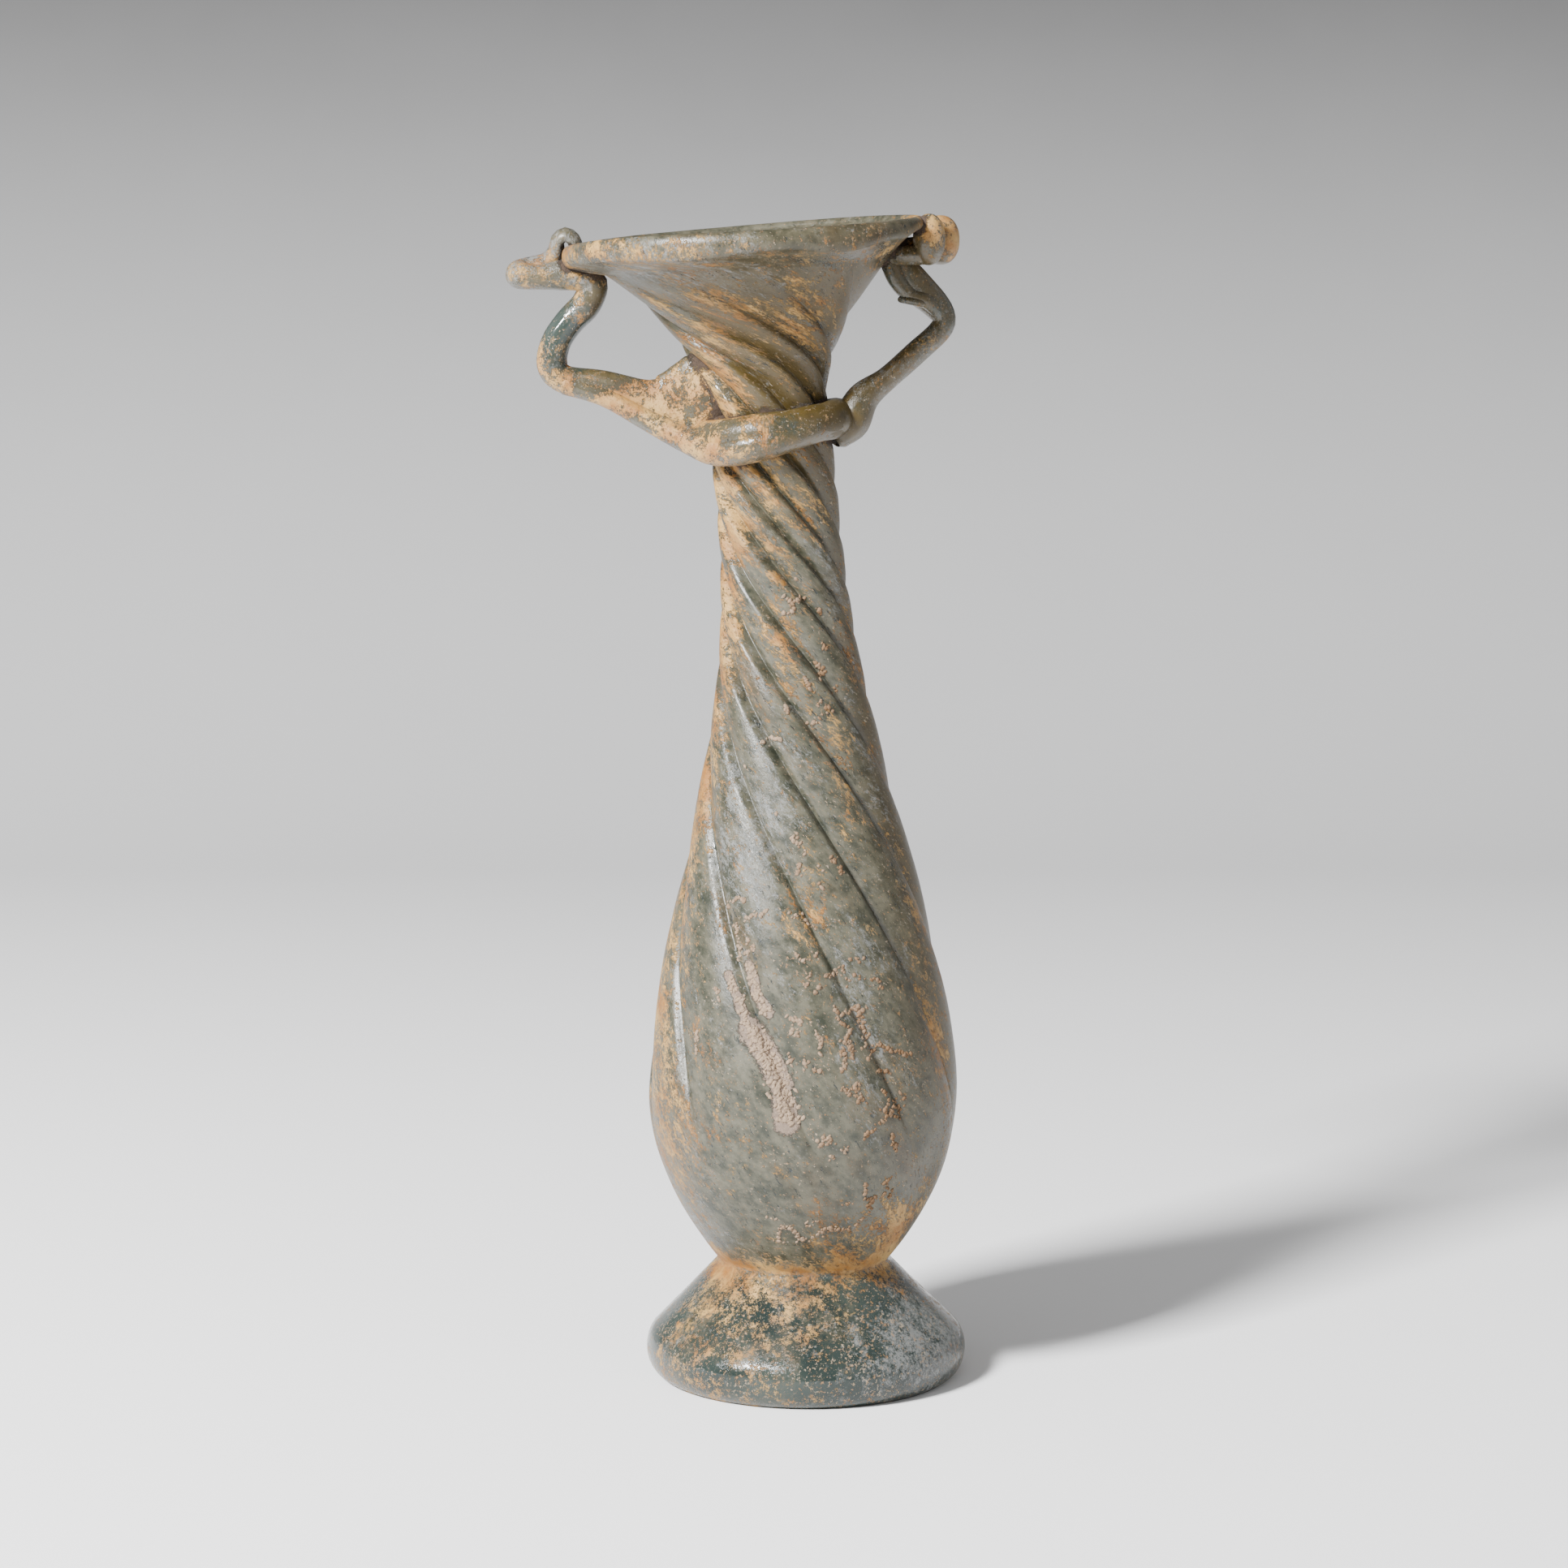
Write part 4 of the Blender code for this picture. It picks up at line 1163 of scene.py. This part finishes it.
    # Heights of the layers, in metres
    grit = n.times(n.math("MAXIMUM", earth, corner_dirt_and_shade), crumbly)
    n.bump(shader, n.total(
        0.0, (film_height, 0.00016), (scale_and_sheen_height, 0.00005), (haze_height, 0.00005), (cream, 0.00006),
        (pits, -0.00006), (speckle, 0.00003), (grit, 0.00060)))
    n.feed(shader.inputs["Base Color"], n.colour)
    n.feed(shader.inputs["Roughness"], n.rough)
    shader.inputs["Metallic"].default_value = 0.0
    shader.inputs["IOR"].default_value = 1.50
    shader.inputs["Transmission Weight"].default_value = 0.08
    return material


# %% Build the crust's earth
def dry_earth():
    material, n, shader = new_material("burial_crust")
    where = n.add("ShaderNodeTexCoord").outputs["Object"]
    grain = n.noise(where, 1500.0, 5.0, 0.75)
    warmth = n.ramp(n.fact("warmth"), 0.0, 1.0)
    colour = n.tint(warmth, n.tint(grain, *PALE_CRUMB), n.tint(grain, *WARM_CRUMB))
    soot, _ = n.group(FLECKS, where, 0.25, 2200.0)
    n.feed(shader.inputs["Base Color"], n.tint(n.times(soot, 0.6), colour, SOOT))
    n.feed(shader.inputs["Roughness"], n.ramp(grain, 0.0, 1.0, 0.85, 1.0))
    n.bump(shader, n.times(grain, 0.00016))
    shader.inputs["Specular IOR Level"].default_value = 0.25
    return material


crust.data.materials.append(dry_earth())
vase.data.materials.append(weathered_glass())
print("Weathered glass: %d nodes" % len(vase.data.materials[0].node_tree.nodes))

# %% [markdown]
# ## Table, backdrop, light and camera
#
# The vase stands on a pale sheet, bent up behind it; a plane and a wall would show a line. A soft light
# from the upper left front shapes the ribs, a much weaker one fills the right side, and the world gives
# the rest. The camera looks slightly down, through a long lens.

# %% The sweep and its paper


def sweep_sheet(width=2.6, front=-1.2, bend_start=0.55, bend=0.45, top=1.9, count=24):
    """Floor that curves up into a back wall."""
    turns = [0.5 * pi * k / count for k in range(1, count + 1)]
    curve = [(bend_start + bend * sin(turn), bend * (1.0 - cos(turn))) for turn in turns]
    profile = [(front, 0.0), (bend_start, 0.0)] + curve + [(bend_start + bend, top)]
    points = [(x, y, z) for y, z in profile for x in (-0.5 * width, 0.5 * width)]
    faces = [(2 * k, 2 * k + 1, 2 * k + 3, 2 * k + 2) for k in range(len(profile) - 1)]
    return new_object("sweep", points, faces)


def paper():
    """Pale backdrop paper with a faint tooth, that falls into shade towards the back and the top."""
    material, n, shader = new_material("backdrop_paper")
    where = n.add("ShaderNodeTexCoord").outputs["Object"]
    tooth = n.noise(where, 14.0, 3.0)
    parts = n.add("ShaderNodeSeparateXYZ", {"Vector": where}).outputs
    back = n.ramp(parts["Y"], 0.0, 1.0, 0.0, 0.45)
    up = n.ramp(parts["Z"], 0.0, 0.36, 0.0, 0.56)
    shade = n.total(n.math("ADD", back, up), (tooth, 0.03))
    n.feed(shader.inputs["Base Color"], n.tint(shade, (0.86, 0.86, 0.865), (0.10, 0.10, 0.10)))
    n.feed(shader.inputs["Roughness"], n.ramp(tooth, 0.0, 1.0, 0.85, 0.95))
    shader.inputs["Specular IOR Level"].default_value = 0.2
    return material


backdrop = sweep_sheet()
backdrop.data.materials.append(paper())


# %% Lights and world
def area_light(name, place_at, target, size, watts):
    light = bpy.data.lights.new(name, "AREA")
    light.shape = "SQUARE"
    light.size = size
    light.energy = watts
    thing = bpy.data.objects.new(name, light)
    thing.location = place_at
    thing.rotation_euler = (Vector(target) - Vector(place_at)).to_track_quat("-Z", "Y").to_euler()
    bpy.context.scene.collection.objects.link(thing)


VASE_MIDDLE = (0.0, 0.0, 0.09)
area_light("key", (-0.68, -0.71, 0.77), VASE_MIDDLE, 0.24, 62.0)
area_light("fill", (0.9, -0.9, 0.5), VASE_MIDDLE, 0.8, 2.0)
world = bpy.data.worlds.new("room")
world.use_nodes = True
world.node_tree.nodes["Background"].inputs["Color"].default_value = (1.0, 1.0, 1.0, 1.0)
world.node_tree.nodes["Background"].inputs["Strength"].default_value = 0.50
bpy.context.scene.world = world

# %% Camera
camera_data = bpy.data.cameras.new("camera")
camera_data.sensor_width = 36.0
camera_data.lens = 36.0 * 5200.0 / 1932.0
camera_data.dof.use_dof = False
camera = bpy.data.objects.new("camera", camera_data)
camera.location = (foot_x - 0.0037, -0.6812, 0.1873)
camera.rotation_euler = (radians(90.0 - 7.48), 0.0, 0.0)
bpy.context.scene.collection.objects.link(camera)
bpy.context.scene.camera = camera
